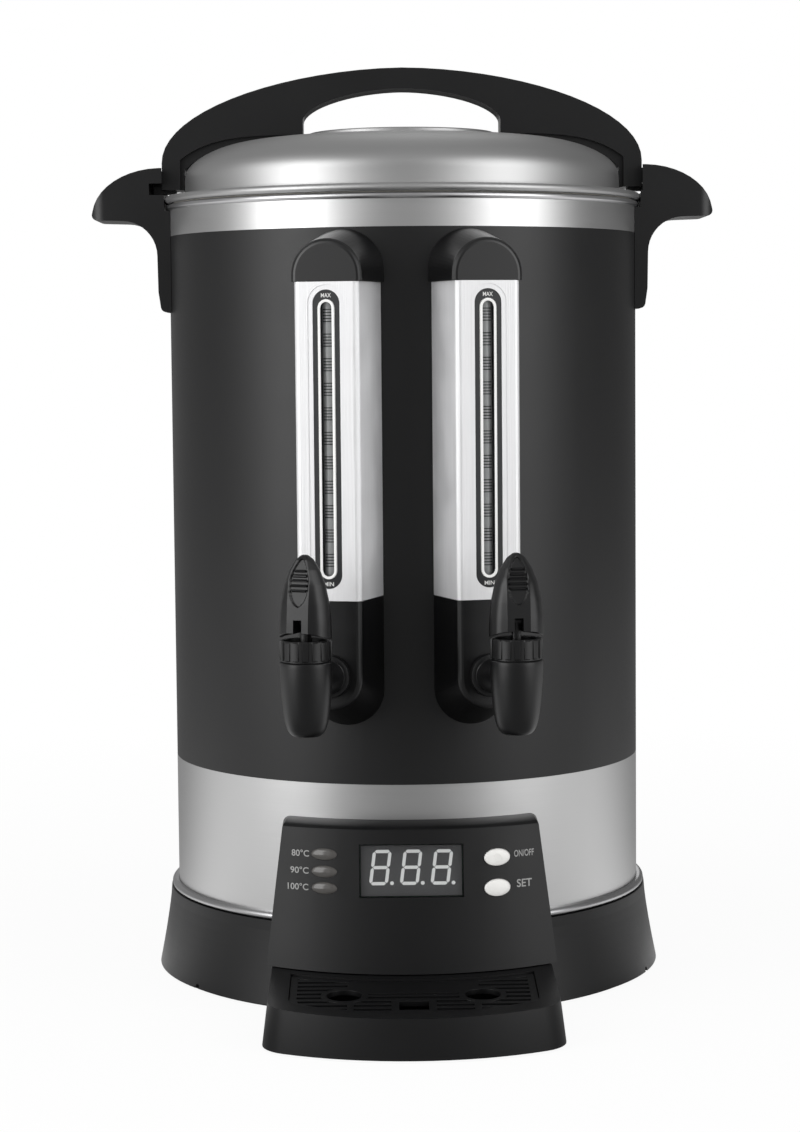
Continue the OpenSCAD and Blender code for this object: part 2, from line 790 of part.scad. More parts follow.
// The ring that the console is cut from. Its back follows the body and the base.
module console_ring(inset) {
    top = console_top_z - inset;
    low = 15;
    back = inset > 0 ? 5 : 0;
    polygon([
        [body_r + 0.2 - back, top + 1.7], [panel_r(top) - inset - 2, top + 0.6],
        [panel_r(top) - inset - 0.2, top - 0.9], [panel_r(low) - inset, low],
        [base_r(low) + 0.4 - back, low], [base_r(base_h) + 0.4 - back, base_h + 0.2],
        [trim_r + 0.3 - back, base_h + 0.2], [trim_r + 0.3 - back, base_h + trim_h + 0.3],
        [body_r + 0.2 - back, base_h + trim_h + 0.3],
    ]);
}

// The console's outline from the front.
module console_outline(inset) {
    top = console_top_z + 1.7 - inset;
    low = 10;
    corner = 4;
    half_top = console_half_w - inset;
    half_low = half_top + side_lean * (top - low);
    right = concat([[half_low, low]], arc(half_top - corner + 0.5, top - corner, corner, 0, 90, 6));
    polygon(concat(right, [for (i = [len(right) - 1:-1:0]) [-right[i][0], right[i][1]]]));
}

module console_solid(inset) {
    intersection() {
        rotate_extrude() console_ring(inset);
        translate([0, -90, 0]) rotate([90, 0, 0]) linear_extrude(80) console_outline(inset);
    }
}

// Everything above the tray's sloping top, raised by a gap.
module above_tray(gap) {
    translate([0, tray_back, console_foot_z + gap]) rotate([tray_slope, 0, 0])
        translate([-200, -200, 0]) cube([400, 400, 200]);
}

window_size = [52, 26.5];
window_mid_z = 74.8;
window_t = 1.4;
window_lap = 3;
window_y = -sqrt(pow(panel_r(window_mid_z), 2) - pow(window_size[0] / 2 + window_lap, 2)) + 1;
button_x = 42.8;
button_size = [13, 8.3];
lens_x = -43.4;
lens_size = [13, 6];
lens_z = [66.1, 74.2, 82.7];
on_off_z = 80.5;
set_z = 65.6;
screw_boss = [54, 53];

// Places what lies on the window's sloping plane: Y is out of the plane, to the back.
module at_window() {
    translate([0, window_y, window_mid_z]) rotate([-panel_tilt, 0, 0]) children();
}

// A bar along Y with an oval end, at a place on the console's face.
module oval_bar(size, x, z, y0, y1) {
    translate([x, y1, z]) rotate([90, 0, 0]) linear_extrude(y1 - y0) polygon(oval(size[0], size[1]));
}

// The part of the console's thickness between two depths behind its face.
module panel_layer(front, back) {
    rotate_extrude() polygon([
        [panel_r(100) - back, 100], [panel_r(100) - front, 100],
        [panel_r(40) - front, 40], [panel_r(40) - back, 40],
    ]);
}

module front_console() {
    w = window_size[0];
    h = window_size[1];
    color(black_plastic) difference() {
        union() {
            difference() {
                console_solid(0);
                intersection() {
                    console_solid(console_t);
                    above_tray(console_t);
                }
            }
            intersection() {
                console_solid(0.5);
                union() {
                    for (x = [-screw_boss[0], screw_boss[0]])
                        bar_y(4, -150, -100, x, screw_boss[1]);
                    at_window() difference() {
                        block([-w / 2 - 5, -6, -h / 2 - 5], [w / 2 + 5, window_t + 1.2, h / 2 + 5]);
                        block([-w / 2 - 4, window_t + 0.1, -h / 2 - 3], [w / 2 + 4, 9, h / 2 + 3]);
                    }
                }
            }
        }
        difference() {
            translate([0, 0, 5]) cylinder(r = 200, h = 60);
            above_tray(0.4);
            translate([0, 0, 60]) cylinder(r = 250, h = 60);
        }
        at_window() {
            block([-w / 2, -20, -h / 2], [w / 2, 5, h / 2]);
            block([-w / 2 - window_lap, 0, -h / 2 - window_lap + 1],
                  [w / 2 + window_lap, 5, h / 2 + window_lap - 1]);
        }
        for (z = [on_off_z, set_z])
            oval_bar(button_size + [0.6, 0.6], button_x, z, -150, -125);
        for (z = lens_z) oval_bar(lens_size + [0.02, 0.02], lens_x, z, -150, -125);
        for (x = [-screw_boss[0], screw_boss[0]]) bar_y(1.55, -124, -100, x, screw_boss[1]);
        body_core(body_r + 0.2, 30, console_top_z + 10);
    }
}

module display_window() {
    w = window_size[0] + 2 * window_lap - 0.3;
    h = window_size[1] + 2 * window_lap - 2.3;
    color([0.25, 0.25, 0.26, 0.6]) at_window() block([-w / 2, 0.02, -h / 2], [w / 2, window_t, h / 2]);
}

module led_display() {
    color([0.20, 0.20, 0.21]) at_window()
        block([-25.1, window_t + 0.1, -12.5], [25.1, window_t + 6.1, 12.5]);
}

module indicator_lenses() {
    color([0.45, 0.45, 0.43]) for (z = lens_z) intersection() {
        oval_bar(lens_size, lens_x, z, -150, -125);
        panel_layer(-0.4, 4);
    }
}

control_y = [-128.4, -126.8];
switch_front = control_y[0] - 1.3;

module control_board() {
    color([0.10, 0.35, 0.18]) {
        block([-46, control_y[0], 59], [46, control_y[1], 91]);
        for (z = [on_off_z, set_z]) {
            block([button_x - 3, switch_front + 0.6, z - 3], [button_x + 3, control_y[0] + eps, z + 3]);
            bar_y(1.2, switch_front, switch_front + 0.7, button_x, z);
        }
        for (z = lens_z) bar_y(1.4, control_y[0] - 1, control_y[0] + eps, lens_x, z);
        block([-8, control_y[1] - eps, 68], [8, control_y[1] + 6, 76]);
    }
}

// A push button: an oval cap that follows the panel, with a rim and a stalk behind it.
module push_button(z) {
    color([0.92, 0.92, 0.90]) union() {
        intersection() {
            oval_bar(button_size, button_x, z, -150, -125);
            panel_layer(-1.0, console_t + 1);
        }
        intersection() {
            oval_bar(button_size + [2, 2], button_x, z, -150, -125);
            panel_layer(console_t + 0.35, console_t + 1);
        }
        bar_y(2, -138, switch_front - button_travel - 0.3, button_x, z);
    }
}

// The screws that hold the console, driven from inside the lower band.
module console_screws() {
    head_y = -sqrt(pow(body_r - sheet_t, 2) - pow(screw_boss[0] + 3.2, 2)) + 0.3;
    color(steel) for (x = [-screw_boss[0], screw_boss[0]]) {
        bar_y(3.2, head_y, head_y + 2, x, screw_boss[1]);
        bar_y(1.48, -122, head_y + eps, x, screw_boss[1]);
    }
}

module on_off_button() {
    push_button(on_off_z);
}

module set_button() {
    push_button(set_z);
}

// ---------------------------------------------------------------- drip tray

tray_z = 1;
tray_corner = 18;
tray_arc_r = 130;
tray_spread = 2.8;
tray_inner_r = base_r(0) + 0.7;
deck_r = 150.5;
deck_z = 22.8;
well_inset = 10.3;
well_back_r = 157;
grille_t = 2.5;
grille_drop = 1;
ledge_w = 3;
slot_pitch = 6.4;
slot_w = 3.2;
rib_x = 30.5;
rib_w = 3;
drain_at = [33.5, -179];
drain_r = 8.7;
drain_ring = 11.6;
finger_w = 14.4;
finger_y = [-202.5, -189.5];
plain_y = -176;

// The tray's plan, drawn in by an inset: straight sides, round corners and a curved front.
module tray_plan(inset) {
    w = tray_half_w - inset;
    front_c = -tray_front + tray_arc_r;
    r = tray_arc_r - inset;
    c = tray_corner - inset * 0.6;
    corner_y = front_c - sqrt(pow(r - c, 2) - pow(w - c, 2));
    turn = acos((w - c) / (r - c));
    half = concat([[w, -95]], arc(w - c, corner_y, c, 0, -turn, 6), arc(0, front_c, r, -turn, -90, 8));
    polygon(concat(half, [for (i = [len(half) - 2:-1:0]) [-half[i][0], half[i][1]]]));
}

// Places what lies in the tray's sloping top plane.
module at_tray_top() {
    translate([0, tray_back, console_foot_z]) rotate([tray_slope, 0, 0]) translate([0, -tray_back, 0])
        children();
}

module tray_block() {
    hull() {
        translate([0, 0, tray_z]) linear_extrude(0.1) tray_plan(-tray_spread);
        translate([0, 0, 30]) linear_extrude(0.1) tray_plan(0.9);
    }
}

module drip_tray() {
    color(black_plastic) union() {
        difference() {
            tray_block();
            at_tray_top() translate([-200, -400, 0]) cube([400, 600, 50]);
            body_core(tray_inner_r, -5, 60);
            body_core(deck_r, deck_z, 60);
            at_tray_top() translate([0, 0, -grille_drop - grille_t - 0.3]) linear_extrude(40)
                grille_plan(-0.4);
            difference() {
                translate([0, 0, tray_z + 2]) linear_extrude(40) grille_plan(ledge_w);
                at_tray_top() translate([-200, -400, 0]) cube([400, 600, 50]);
            }
        }
        for (x = [-tongue_x, tongue_x])
            block([x - tongue_w / 2, -tray_inner_r - 2, tongue_z[0]],
                  [x + tongue_w / 2, -ledge_r - 1, tongue_z[1]]);
    }
}

// The grille's plan, drawn in by an inset: the tray's plan less its rim and its back.
module grille_plan(inset) {
    difference() {
        tray_plan(well_inset + inset);
        circle(r = well_back_r + inset);
    }
}

// The cross slots of the grille, between its ribs and rings.
module grille_slots() {
    rows = [-208:slot_pitch:-144];
    difference() {
        intersection() {
            union() for (y = rows) translate([-80, y - slot_w / 2]) square([160, slot_w]);
            grille_plan(3.4);
        }
        for (x = [-rib_x, rib_x]) translate([x - rib_w / 2, -250]) square([rib_w, 150]);
        for (s = [-1, 1]) translate([s * drain_at[0], drain_at[1]]) circle(r = drain_ring);
        translate([-rib_x, plain_y]) square([2 * rib_x, 50]);
        translate([-finger_w / 2 - 3.6, finger_y[0] - 2]) square([finger_w + 7.2, 17]);
    }
}

module drip_grille() {
    color([0.09, 0.09, 0.10]) at_tray_top() translate([0, 0, -grille_drop - grille_t])
        linear_extrude(grille_t) difference() {
            grille_plan(0);
            grille_slots();
            for (s = [-1, 1]) translate([s * drain_at[0], drain_at[1]]) circle(r = drain_r);
            translate([-finger_w / 2, finger_y[0]]) square([finger_w, finger_y[1] - finger_y[0]]);
        }
}

// ---------------------------------------------------------------- lid

lid_t = 0.9;
dome_r = 115.9;
wall_top_z = rim_z + 19.9;
disc_step = 3.0;
disc_rise = 2.0;
lid_skirt_r = 114.6;
lid_skirt_z = rim_z - 5;
flange_z = lid_bead_z + 0.1;
lid_screw_x = 75;

// Height of the crown's outer surface at a radius.
function crown_z(r) = wall_top_z + lid_crown_h * pow(1 - pow(min(r, dome_r) / dome_r, 6.6), 0.97);

// Half of the lid's outer or inner line, from the middle to the wall's foot.
function lid_line(t) = concat(
    [for (i = [0:6]) let (r = (lid_disc_r - t) * i / 6)
        [r, crown_z(lid_disc_r) + disc_step + disc_rise * (1 - pow(r / lid_disc_r, 2)) - t]],
    [[lid_disc_r + 0.8 - t, crown_z(lid_disc_r + 1) - t]],
    [for (r = [55:4:99]) [r - t, crown_z(r) - t]],
    [for (f = [0.882, 0.905, 0.927, 0.948, 0.966, 0.982, 0.993, 1])
        [dome_r * f - t, crown_z(dome_r * f) - t * (1 - f * 0.6)]],
    [[lid_wall_r - t, flange_z + 3]]
);

module lid_dome() {
    outer = lid_line(0);
    inner = lid_line(lid_t);
    color(bright_steel) difference() {
        union() {
            rotate_extrude() polygon(concat(
                outer,
                [[lid_wall_r + 0.8, flange_z], [lid_bead_x, flange_z], [lid_bead_x, flange_z - lid_t],
                 [lid_skirt_r, flange_z - lid_t], [lid_skirt_r, lid_skirt_z],
                 [lid_skirt_r - lid_t, lid_skirt_z], [lid_skirt_r - lid_t, flange_z],
                 [lid_wall_r - lid_t, flange_z]],
                [for (i = [len(inner) - 1:-1:0]) inner[i]]
            ));
            rotate_extrude() translate([lid_bead_x, lid_bead_z]) circle(r = lid_bead_r, $fn = 32);
        }
        for (x = [-lid_screw_x, lid_screw_x]) translate([x, 0, 430]) cylinder(r = 2.3, h = 30);
    }
}

// Top edge and underside of the lid handle at a distance from its middle.
leg_x = 118.2;
leg_low_z = 418.4;
arch_z = 432.5;
arch_h = 49.6;
lid_under_z = 447.2;
lid_under_drop = 13;
grip_low_z = 454.5;
grip_h = 16.6;
web_half = 8.5;
lid_gap = 0.3;
function arch_top(x) = arch_z + arch_h * sqrt(1 - pow(abs(x) / (lid_handle_w / 2), 1.8));
function arch_under(x) = lid_under_z - lid_under_drop * pow(min(abs(x), leg_x) / leg_x, 7.3);

module lid_handle_outline() {
    half_w = lid_handle_w / 2;
    grip_x = lid_grip_w / 2;
    under = concat([for (f = [0:0.1:0.9]) leg_x - (leg_x - grip_x) * f * f], [grip_x]);
    right = concat(
        [[half_w, leg_low_z]],
        [for (a = [0:5:90]) [half_w * cos(a), arch_top(half_w * cos(a))]]
    );
    right_low = concat(
        [[leg_x, leg_low_z]],
        [for (x = under) [x, arch_under(x)]],
        [for (a = [0:6:90]) [grip_x * pow(cos(a), 1.11), grip_low_z + grip_h * pow(sin(a), 1.11)]]
    );
    half = concat([for (i = [len(right) - 1:-1:0]) right[i]], right_low);
    polygon(concat(half, [for (i = [len(half) - 2:-1:1]) [-half[i][0], half[i][1]]]));
}

tab_z = [416.6, 420.4];
tab_r = 133;
tab_half = 4;

// The web under one side of the lid handle, before it is cut to the lid's form.
module handle_web_outline() {
    xs = [for (x = [54:8:leg_x]) x];
    polygon(concat(
        [[leg_x + 1, leg_low_z], [54, leg_low_z]], [for (x = xs) [x, arch_under(x) + 2]],
        [[leg_x + 1, arch_under(leg_x) + 2]]
    ));
}

// The lid's outer form with a gap around it.
module lid_clearance() {
    rotate_extrude() polygon(concat(
        [[0, rim_z]], [for (p = lid_line(0)) [p[0] + (p[0] > 0 ? lid_gap : 0), p[1] + lid_gap]],
        [[lid_wall_r + lid_gap, rim_z]]
    ));
}

module lid_handle() {
    color(black_plastic) difference() {
        union() {
            difference() {
                union() {
                    rotate([90, 0, 0]) linear_extrude(lid_handle_t, center = true) lid_handle_outline();
                    rotate([90, 0, 0]) linear_extrude(2 * web_half, center = true) {
                        handle_web_outline();
                        mirror([1, 0]) handle_web_outline();
                    }
                }
                lid_clearance();
            }
            for (s = [-1, 1]) {
                translate([s * lid_screw_x, 0, crown_z(lid_screw_x - 5) + 0.05]) cylinder(r = 5, h = 6);
                block([min(s * 121, s * tab_r), -tab_half, tab_z[0]],
                      [max(s * 121, s * tab_r), tab_half, tab_z[1]]);
            }
        }
        for (x = [-lid_screw_x, lid_screw_x]) translate([x, 0, 430]) cylinder(r = 1.85, h = 26);
    }
}

module lid_handle_screws() {
    head_z = crown_z(lid_screw_x + 4.5) - lid_t - 0.2;
    color(steel) for (x = [-lid_screw_x, lid_screw_x]) translate([x, 0, 0]) difference() {
        union() {
            translate([0, 0, head_z - 2.4]) cylinder(r = 4, h = 2.4);
            translate([0, 0, head_z - eps]) cylinder(r = 1.8, h = 13);
        }
        translate([-2.6, -0.5, head_z - 3]) cube([5.2, 1, 1.8]);
        translate([-0.5, -2.6, head_z - 3]) cube([1, 5.2, 1.8]);
    }
}

module lid_seal() {
    color([0.80, 0.79, 0.76]) rotate_extrude() polygon([
        [117.6, rim_z + 0.3], [123, rim_z + 0.3], [123, flange_z - lid_t - 0.3],
        [120.3, flange_z - lid_t - 0.2], [117.6, flange_z - lid_t - 0.3],
    ]);
}

// ---------------------------------------------------------------- nodes

base_ring();
base_trim_ring();
bottom_cover();
foot_ring();
base_screws();
lower_band();
outer_shell();
top_band();
inner_tank();
heating_element();
thermostats();
temperature_sensor();
heat_shield();
power_board();
power_inlet();
left_side_handle();
right_side_handle();
side_handle_screws();
at_gauge(-1) gauge_housing();  // left_gauge_housing
at_gauge(1) gauge_housing();  // right_gauge_housing
at_gauge(-1) gauge_cap();  // left_gauge_cap
at_gauge(1) gauge_cap();  // right_gauge_cap
at_gauge(-1) gauge_cover();  // left_gauge_cover
at_gauge(1) gauge_cover();  // right_gauge_cover
at_gauge(-1) scale_plate();  // left_scale_plate
at_gauge(1) scale_plate();  // right_scale_plate
at_gauge(-1) sight_tube();  // left_sight_tube
at_gauge(1) sight_tube();  // right_sight_tube
at_gauge(-1) tube_seals();  // left_tube_seals
at_gauge(1) tube_seals();  // right_tube_seals
at_gauge(-1) tank_fittings();  // left_tank_fittings
at_gauge(1) tank_fittings();  // right_tank_fittings
at_gauge(-1) tap_body();  // left_tap_body
at_gauge(1) tap_body();  // right_tap_body
at_gauge(-1) tap_bonnet();  // left_tap_bonnet
at_gauge(1) tap_bonnet();  // right_tap_bonnet
at_gauge(-1) turned() tap_stem();  // left_tap_stem
at_gauge(1) turned() tap_stem();  // right_tap_stem
at_gauge(-1) turned() tap_lever();  // left_tap_lever
at_gauge(1) turned() tap_lever();  // right_tap_lever
at_gauge(-1) turned() tap_pin();  // left_tap_pin
at_gauge(1) turned() tap_pin();  // right_tap_pin
at_gauge(-1) seat_cup();  // left_seat_cup
at_gauge(1) seat_cup();  // right_seat_cup
at_gauge(-1) tap_spring();  // left_tap_spring
at_gauge(1) tap_spring();  // right_tap_spring
front_console();
display_window();
led_display();
indicator_lenses();
control_board();
on_off_button();
set_button();
console_screws();
drip_tray();
drip_grille();
lid_dome();
lid_handle();
lid_handle_screws();
lid_seal();
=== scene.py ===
"""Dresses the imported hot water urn: finishes for every CAD part, and finer meshes for what shows most."""

import logging
import math
from collections.abc import Callable, Sequence
from dataclasses import dataclass, field
from enum import Enum

import bmesh
import bpy
from mathutils import Matrix, Vector


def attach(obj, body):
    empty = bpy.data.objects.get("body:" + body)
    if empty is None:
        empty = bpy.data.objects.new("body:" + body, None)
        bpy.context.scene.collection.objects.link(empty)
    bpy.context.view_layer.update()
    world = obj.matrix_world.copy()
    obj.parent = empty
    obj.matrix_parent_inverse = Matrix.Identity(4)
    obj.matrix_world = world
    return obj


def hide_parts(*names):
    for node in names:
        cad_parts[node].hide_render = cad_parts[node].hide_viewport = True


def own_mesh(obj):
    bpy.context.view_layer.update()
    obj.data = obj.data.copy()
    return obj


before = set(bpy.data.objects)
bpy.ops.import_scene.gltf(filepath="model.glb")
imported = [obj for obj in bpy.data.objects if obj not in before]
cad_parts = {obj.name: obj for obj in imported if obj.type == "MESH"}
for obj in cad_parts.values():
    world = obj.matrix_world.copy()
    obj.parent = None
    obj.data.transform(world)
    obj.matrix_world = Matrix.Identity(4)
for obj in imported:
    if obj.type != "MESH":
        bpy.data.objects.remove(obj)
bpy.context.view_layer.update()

MM = 0.001
log = logging.getLogger("urn")

# How close two points are merged, in metres
WELD = 2e-6
# The range in which the sum of the marks' and the patches' noise mostly lies
NOISE_SUM = (0.6, 1.4)
# The octaves of the marks' and the patches' noise
MARK_DETAIL, PATCH_DETAIL = 3.0, 2.0
# How far the ink's outline is thickened, as a share of the letters' height
INK_SPREAD = 0.014
WHITE = "#ffffff"

Point = Sequence[float]
Line = list[tuple[float, float]]
Feeds = dict[str | int, object]


class Side(Enum):
    """The two gauges and taps, with the sign of their turn about the body's axis."""

    LEFT = -1
    RIGHT = 1

    @property
    def word(self) -> str:
        """The side's name as the CAD nodes have it."""
        return self.name.lower()


# ------------------------------------------------------------------ finishes


def linear(hex_colour: str) -> tuple[float, float, float, float]:
    """Turns an sRGB hex colour into linear values.

    Args:
        hex_colour: A colour such as "#1c1c1d".

    Returns:
        Red, green, blue and an alpha of 1.
    """
    shares = [int(hex_colour[start:start + 2], 16) / 255 for start in (1, 3, 5)]
    red, green, blue = (s / 12.92 if s <= 0.04045 else ((s + 0.055) / 1.055) ** 2.4 for s in shares)
    return red, green, blue, 1.0


def add_node(
    tree: bpy.types.NodeTree, kind: str, settings: dict[str, object] | None = None, feeds: Feeds | None = None
) -> bpy.types.Node:
    """Adds a node to a tree, sets it up and feeds its inputs.

    Args:
        tree: The node tree.
        kind: The node's type, such as "ShaderNodeMath".
        settings: The node's own settings by name.
        feeds: Values, or output sockets to link, by input name or number.

    Returns:
        The new node.
    """
    node = tree.nodes.new(kind)
    for name, value in (settings or {}).items():
        setattr(node, name, value)
    for key, value in (feeds or {}).items():
        if isinstance(value, bpy.types.NodeSocket):
            tree.links.new(value, node.inputs[key])
        else:
            node.inputs[key].default_value = value
    return node


def new_material(name: str) -> tuple[bpy.types.Material, bpy.types.NodeTree]:
    """Starts a material, and returns it with its node tree."""
    made = bpy.data.materials.new(name)
    made.use_nodes = True
    return made, made.node_tree


class Run(Enum):
    """How a finish's lines lie on a piece."""

    AROUND = "around the body"
    UPRIGHT = "straight up"
    SPUN = "in rings about the body's axis"
    NONE = "the same all ways"


@dataclass(frozen=True)
class Finish:
    """A real material with the way its surface was made.

    Attributes:
        name: The material's common name and how it was made.
        colour: The surface's colour.
        roughness: The middle roughness.
        roughness_spread: How far the roughness swings from patch to patch.
        metallic: 1 for bare metal.
        ior: The refractive index of a coating or a plastic.
        specular: The specular level.
        grain_mm: The size of the finest marks.
        grain_depth_mm: The height of the finest marks.
        run: How the marks lie.
        run_mm: The length of a mark along its run.
        tint: The share by which the colour varies from patch to patch.
        patch_mm: The size of the patches.
        alpha: The opacity.
        glow: The strength of the painted glow, light that it gives off though it is no lamp.
    """

    name: str
    colour: str
    roughness: float
    roughness_spread: float = 0.04
    metallic: float = 0.0
    ior: float = 1.5
    specular: float = 0.5
    grain_mm: float = 0.8
    grain_depth_mm: float = 0.01
    run: Run = Run.NONE
    run_mm: float = 60.0
    tint: float = 0.06
    patch_mm: float = 40.0
    alpha: float = 1.0
    glow: float = 0.0

    def grain_place(self, tree: bpy.types.NodeTree, place: bpy.types.NodeSocket) -> bpy.types.NodeSocket:
        """Stretches a place so that a noise read there runs the way that the finish's marks do.

        Args:
            tree: The material's tree.
            place: The Object coordinates.

        Returns:
            The place in units of one mark.
        """
        fine, long = 1 / (self.grain_mm * MM), 1 / (self.run_mm * MM)
        if self.run is Run.SPUN:
            axes = add_node(tree, "ShaderNodeSeparateXYZ", feeds={0: place})
            flat = add_node(tree, "ShaderNodeCombineXYZ", feeds={0: axes.outputs[0], 1: axes.outputs[1]})
            radius = add_node(tree, "ShaderNodeVectorMath", {"operation": "LENGTH"}, {0: flat.outputs[0]})
            ring = add_node(
                tree, "ShaderNodeMath", {"operation": "MULTIPLY"}, {0: radius.outputs["Value"], 1: fine},
            )
            slow = add_node(
                tree, "ShaderNodeVectorMath", {"operation": "SCALE"}, {0: flat.outputs[0], "Scale": long},
            )
            parts = add_node(tree, "ShaderNodeSeparateXYZ", feeds={0: slow.outputs[0]})
            joined = add_node(tree, "ShaderNodeCombineXYZ", feeds={
                0: parts.outputs[0], 1: parts.outputs[1], 2: ring.outputs[0],
            })
            return joined.outputs[0]
        scales = {
            Run.AROUND: (long, long, fine), Run.UPRIGHT: (fine, fine, long), Run.NONE: (fine, fine, fine),
        }
        mapping = add_node(tree, "ShaderNodeMapping", feeds={"Vector": place, "Scale": scales[self.run]})
        return mapping.outputs[0]

    def material(self) -> bpy.types.Material:
        """Builds the material once, and returns it."""
        made = bpy.data.materials.get(self.name)
        if made:
            return made
        made, tree = new_material(self.name)
        shader = tree.nodes["Principled BSDF"]
        place = add_node(tree, "ShaderNodeTexCoord").outputs["Object"]
        marks = add_node(tree, "ShaderNodeTexNoise", feeds={
            "Vector": self.grain_place(tree, place), "Scale": 1.0, "Detail": MARK_DETAIL,
        })
        patches = add_node(tree, "ShaderNodeTexNoise", feeds={
            "Vector": place, "Scale": 1 / (self.patch_mm * MM), "Detail": PATCH_DETAIL,
        })
        both = add_node(
            tree, "ShaderNodeMath", {"operation": "ADD"}, {0: marks.outputs[0], 1: patches.outputs[0]},
        )
        swing = {"Value": both.outputs[0], "From Min": NOISE_SUM[0], "From Max": NOISE_SUM[1]}
        rough = add_node(tree, "ShaderNodeMapRange", feeds=swing | {
            "To Min": self.roughness - self.roughness_spread,
            "To Max": self.roughness + self.roughness_spread,
        })
        shade = add_node(
            tree, "ShaderNodeMapRange", feeds=swing | {"To Min": 1 - self.tint, "To Max": 1 + self.tint},
        )
        colour = add_node(tree, "ShaderNodeVectorMath", {"operation": "SCALE"}, {
            0: linear(self.colour)[:3], "Scale": shade.outputs[0],
        })
        bump = add_node(tree, "ShaderNodeBump", feeds={
            "Distance": self.grain_depth_mm * MM, "Height": marks.outputs[0],
        })
        tree.links.new(colour.outputs[0], shader.inputs["Base Color"])
        tree.links.new(rough.outputs[0], shader.inputs["Roughness"])
        tree.links.new(bump.outputs[0], shader.inputs["Normal"])
        # A finish's glow, where it has one, is painted light: its own colour given off as if it were lit.
        for name, value in {
            "Metallic": self.metallic, "IOR": self.ior, "Specular IOR Level": self.specular,
            "Alpha": self.alpha,
            "Emission Color": linear(self.colour), "Emission Strength": self.glow,
        }.items():
            shader.inputs[name].default_value = value
        return made


# Black epoxy powder baked on the steel jacket: a close orange peel and a soft, even sheen.
POWDER_COAT = Finish(
    "powder_coated_steel", "#0c0c0d", 0.42, 0.03, specular=0.42, grain_mm=1.1, grain_depth_mm=0.012,
    tint=0.05,
)
# Black ABS from a lightly spark-eroded mould: satin, with a fine grain.
MOULDED_ABS = Finish(
    "moulded_abs", "#0b0b0c", 0.36, 0.04, specular=0.42, grain_mm=0.5, grain_depth_mm=0.006, tint=0.08,
)
# Black ABS from a polished mould, on the gauges: smoother, so edges carry clean highlights.
POLISHED_ABS = Finish("polished_mould_abs", "#0a0a0b", 0.33, 0.02, grain_mm=2.4, grain_depth_mm=0.0005)
# Glass-filled nylon of the base, the console and the tray: a coarser mould grain that scatters light.
BASE_NYLON = Finish(
    "glass_filled_nylon", "#0c0c0d", 0.42, 0.05, specular=0.3, grain_mm=0.6, grain_depth_mm=0.01, tint=0.1,
)
# Stainless steel brushed round the body. The lines are drawn coarser than grit so that they show.
BRUSHED_STEEL = Finish(
    "brushed_stainless_steel", "#c0c0c0", 0.36, 0.05, 1.0, grain_mm=0.35, grain_depth_mm=0.002,
    run=Run.AROUND, run_mm=45, tint=0.03, patch_mm=120,
)
# Stainless steel spun over a former and buffed: faint rings about the axis.
SPUN_STEEL = Finish(
    "spun_stainless_steel", "#b0b0b0", 0.44, 0.03, 1.0, grain_mm=0.5, grain_depth_mm=0.0012,
    run=Run.SPUN, run_mm=60, tint=0.02, patch_mm=120,
)
# Stainless steel drawn into the tank and its rolled rim.
DRAWN_STEEL = Finish(
    "drawn_stainless_steel", "#c2c2c3", 0.3, 0.03, 1.0, grain_mm=0.6, grain_depth_mm=0.0006,
    run=Run.AROUND, run_mm=40, tint=0.03,
)
# Satin-polished steel of the gauge covers: soft, with upright streaks from the polishing belt.
POLISHED_STEEL = Finish(
    "satin_polished_steel", "#e6e6e7", 0.55, 0.1, 0.65, grain_mm=0.6, grain_depth_mm=0.08,
    run=Run.UPRIGHT, run_mm=50, tint=0.06, patch_mm=25,
)
# Satin rolled trim between the band and the base.
ROLLED_TRIM = Finish("satin_rolled_steel", "#b2b2b3", 0.32, 0.04, 1.0, grain_depth_mm=0.001, run=Run.AROUND)
# Galvanised sheet of the shield and the bottom, with its zinc flowers.
GALVANISED = Finish(
    "galvanised_sheet_steel", "#a4a6a8", 0.42, 0.1, 1.0, grain_mm=9, grain_depth_mm=0.01, tint=0.14,
    patch_mm=14,
)
# Zinc-plated screws and pins.
ZINC = Finish("zinc_plated_steel", "#b4b6ba", 0.3, 0.06, 1.0, grain_mm=0.3, grain_depth_mm=0.003, tint=0.06)
# Turned brass of the nuts and the vent screw.
BRASS = Finish("turned_brass", "#c9a864", 0.27, 0.05, 1.0, grain_mm=0.4, grain_depth_mm=0.003, tint=0.06)
# Cast aluminium heater, sand-cast rough.
CAST_ALUMINIUM = Finish(
    "cast_aluminium", "#a9aaac", 0.5, 0.08, 1.0, grain_mm=1.5, grain_depth_mm=0.05, tint=0.08, patch_mm=12,
)
# Food-grade silicone, milky and dull.
SILICONE = Finish("silicone_rubber", "#cbc8c0", 0.62, 0.05, grain_mm=0.8, grain_depth_mm=0.01)
# Black EPDM rubber under the base.
RUBBER = Finish("epdm_rubber", "#191919", 0.75, 0.05, grain_mm=0.7, grain_depth_mm=0.03, tint=0.12)
# Black acetal of the tap stems: slightly waxy.
ACETAL = Finish("black_acetal", "#0b0b0b", 0.4, 0.05, grain_mm=0.6, grain_depth_mm=0.004)
# Polycarbonate sight tube, greyed by what it shows behind it.
POLYCARBONATE = Finish(
    "polycarbonate_tube", "#a9abab", 0.2, 0.05, ior=1.58, grain_mm=2, grain_depth_mm=0.002, alpha=0.86,
    tint=0.1,
)
# Smoked acrylic over the display.
SMOKED_ACRYLIC = Finish(
    "smoked_acrylic", "#2b2d2e", 0.08, 0.01, ior=1.49, grain_mm=3, grain_depth_mm=0.001, alpha=0.16,
)
# Screen-printed grey polystyrene of the display's face.
DISPLAY_FACE = Finish(
    "grey_display_face", "#5a5a5b", 0.4, 0.04, grain_mm=0.6, grain_depth_mm=0.004, tint=0.05,
)
# Epoxy-filled display segments, pale grey; their glow is painted light that brightens them, though they give
# off none.
PAINTED_GLOW_SEGMENT = Finish("epoxy_segment_painted_glow", "#d2d4d3", 0.4, 0.02, glow=0.55, tint=0.01, grain_depth_mm=0.001)
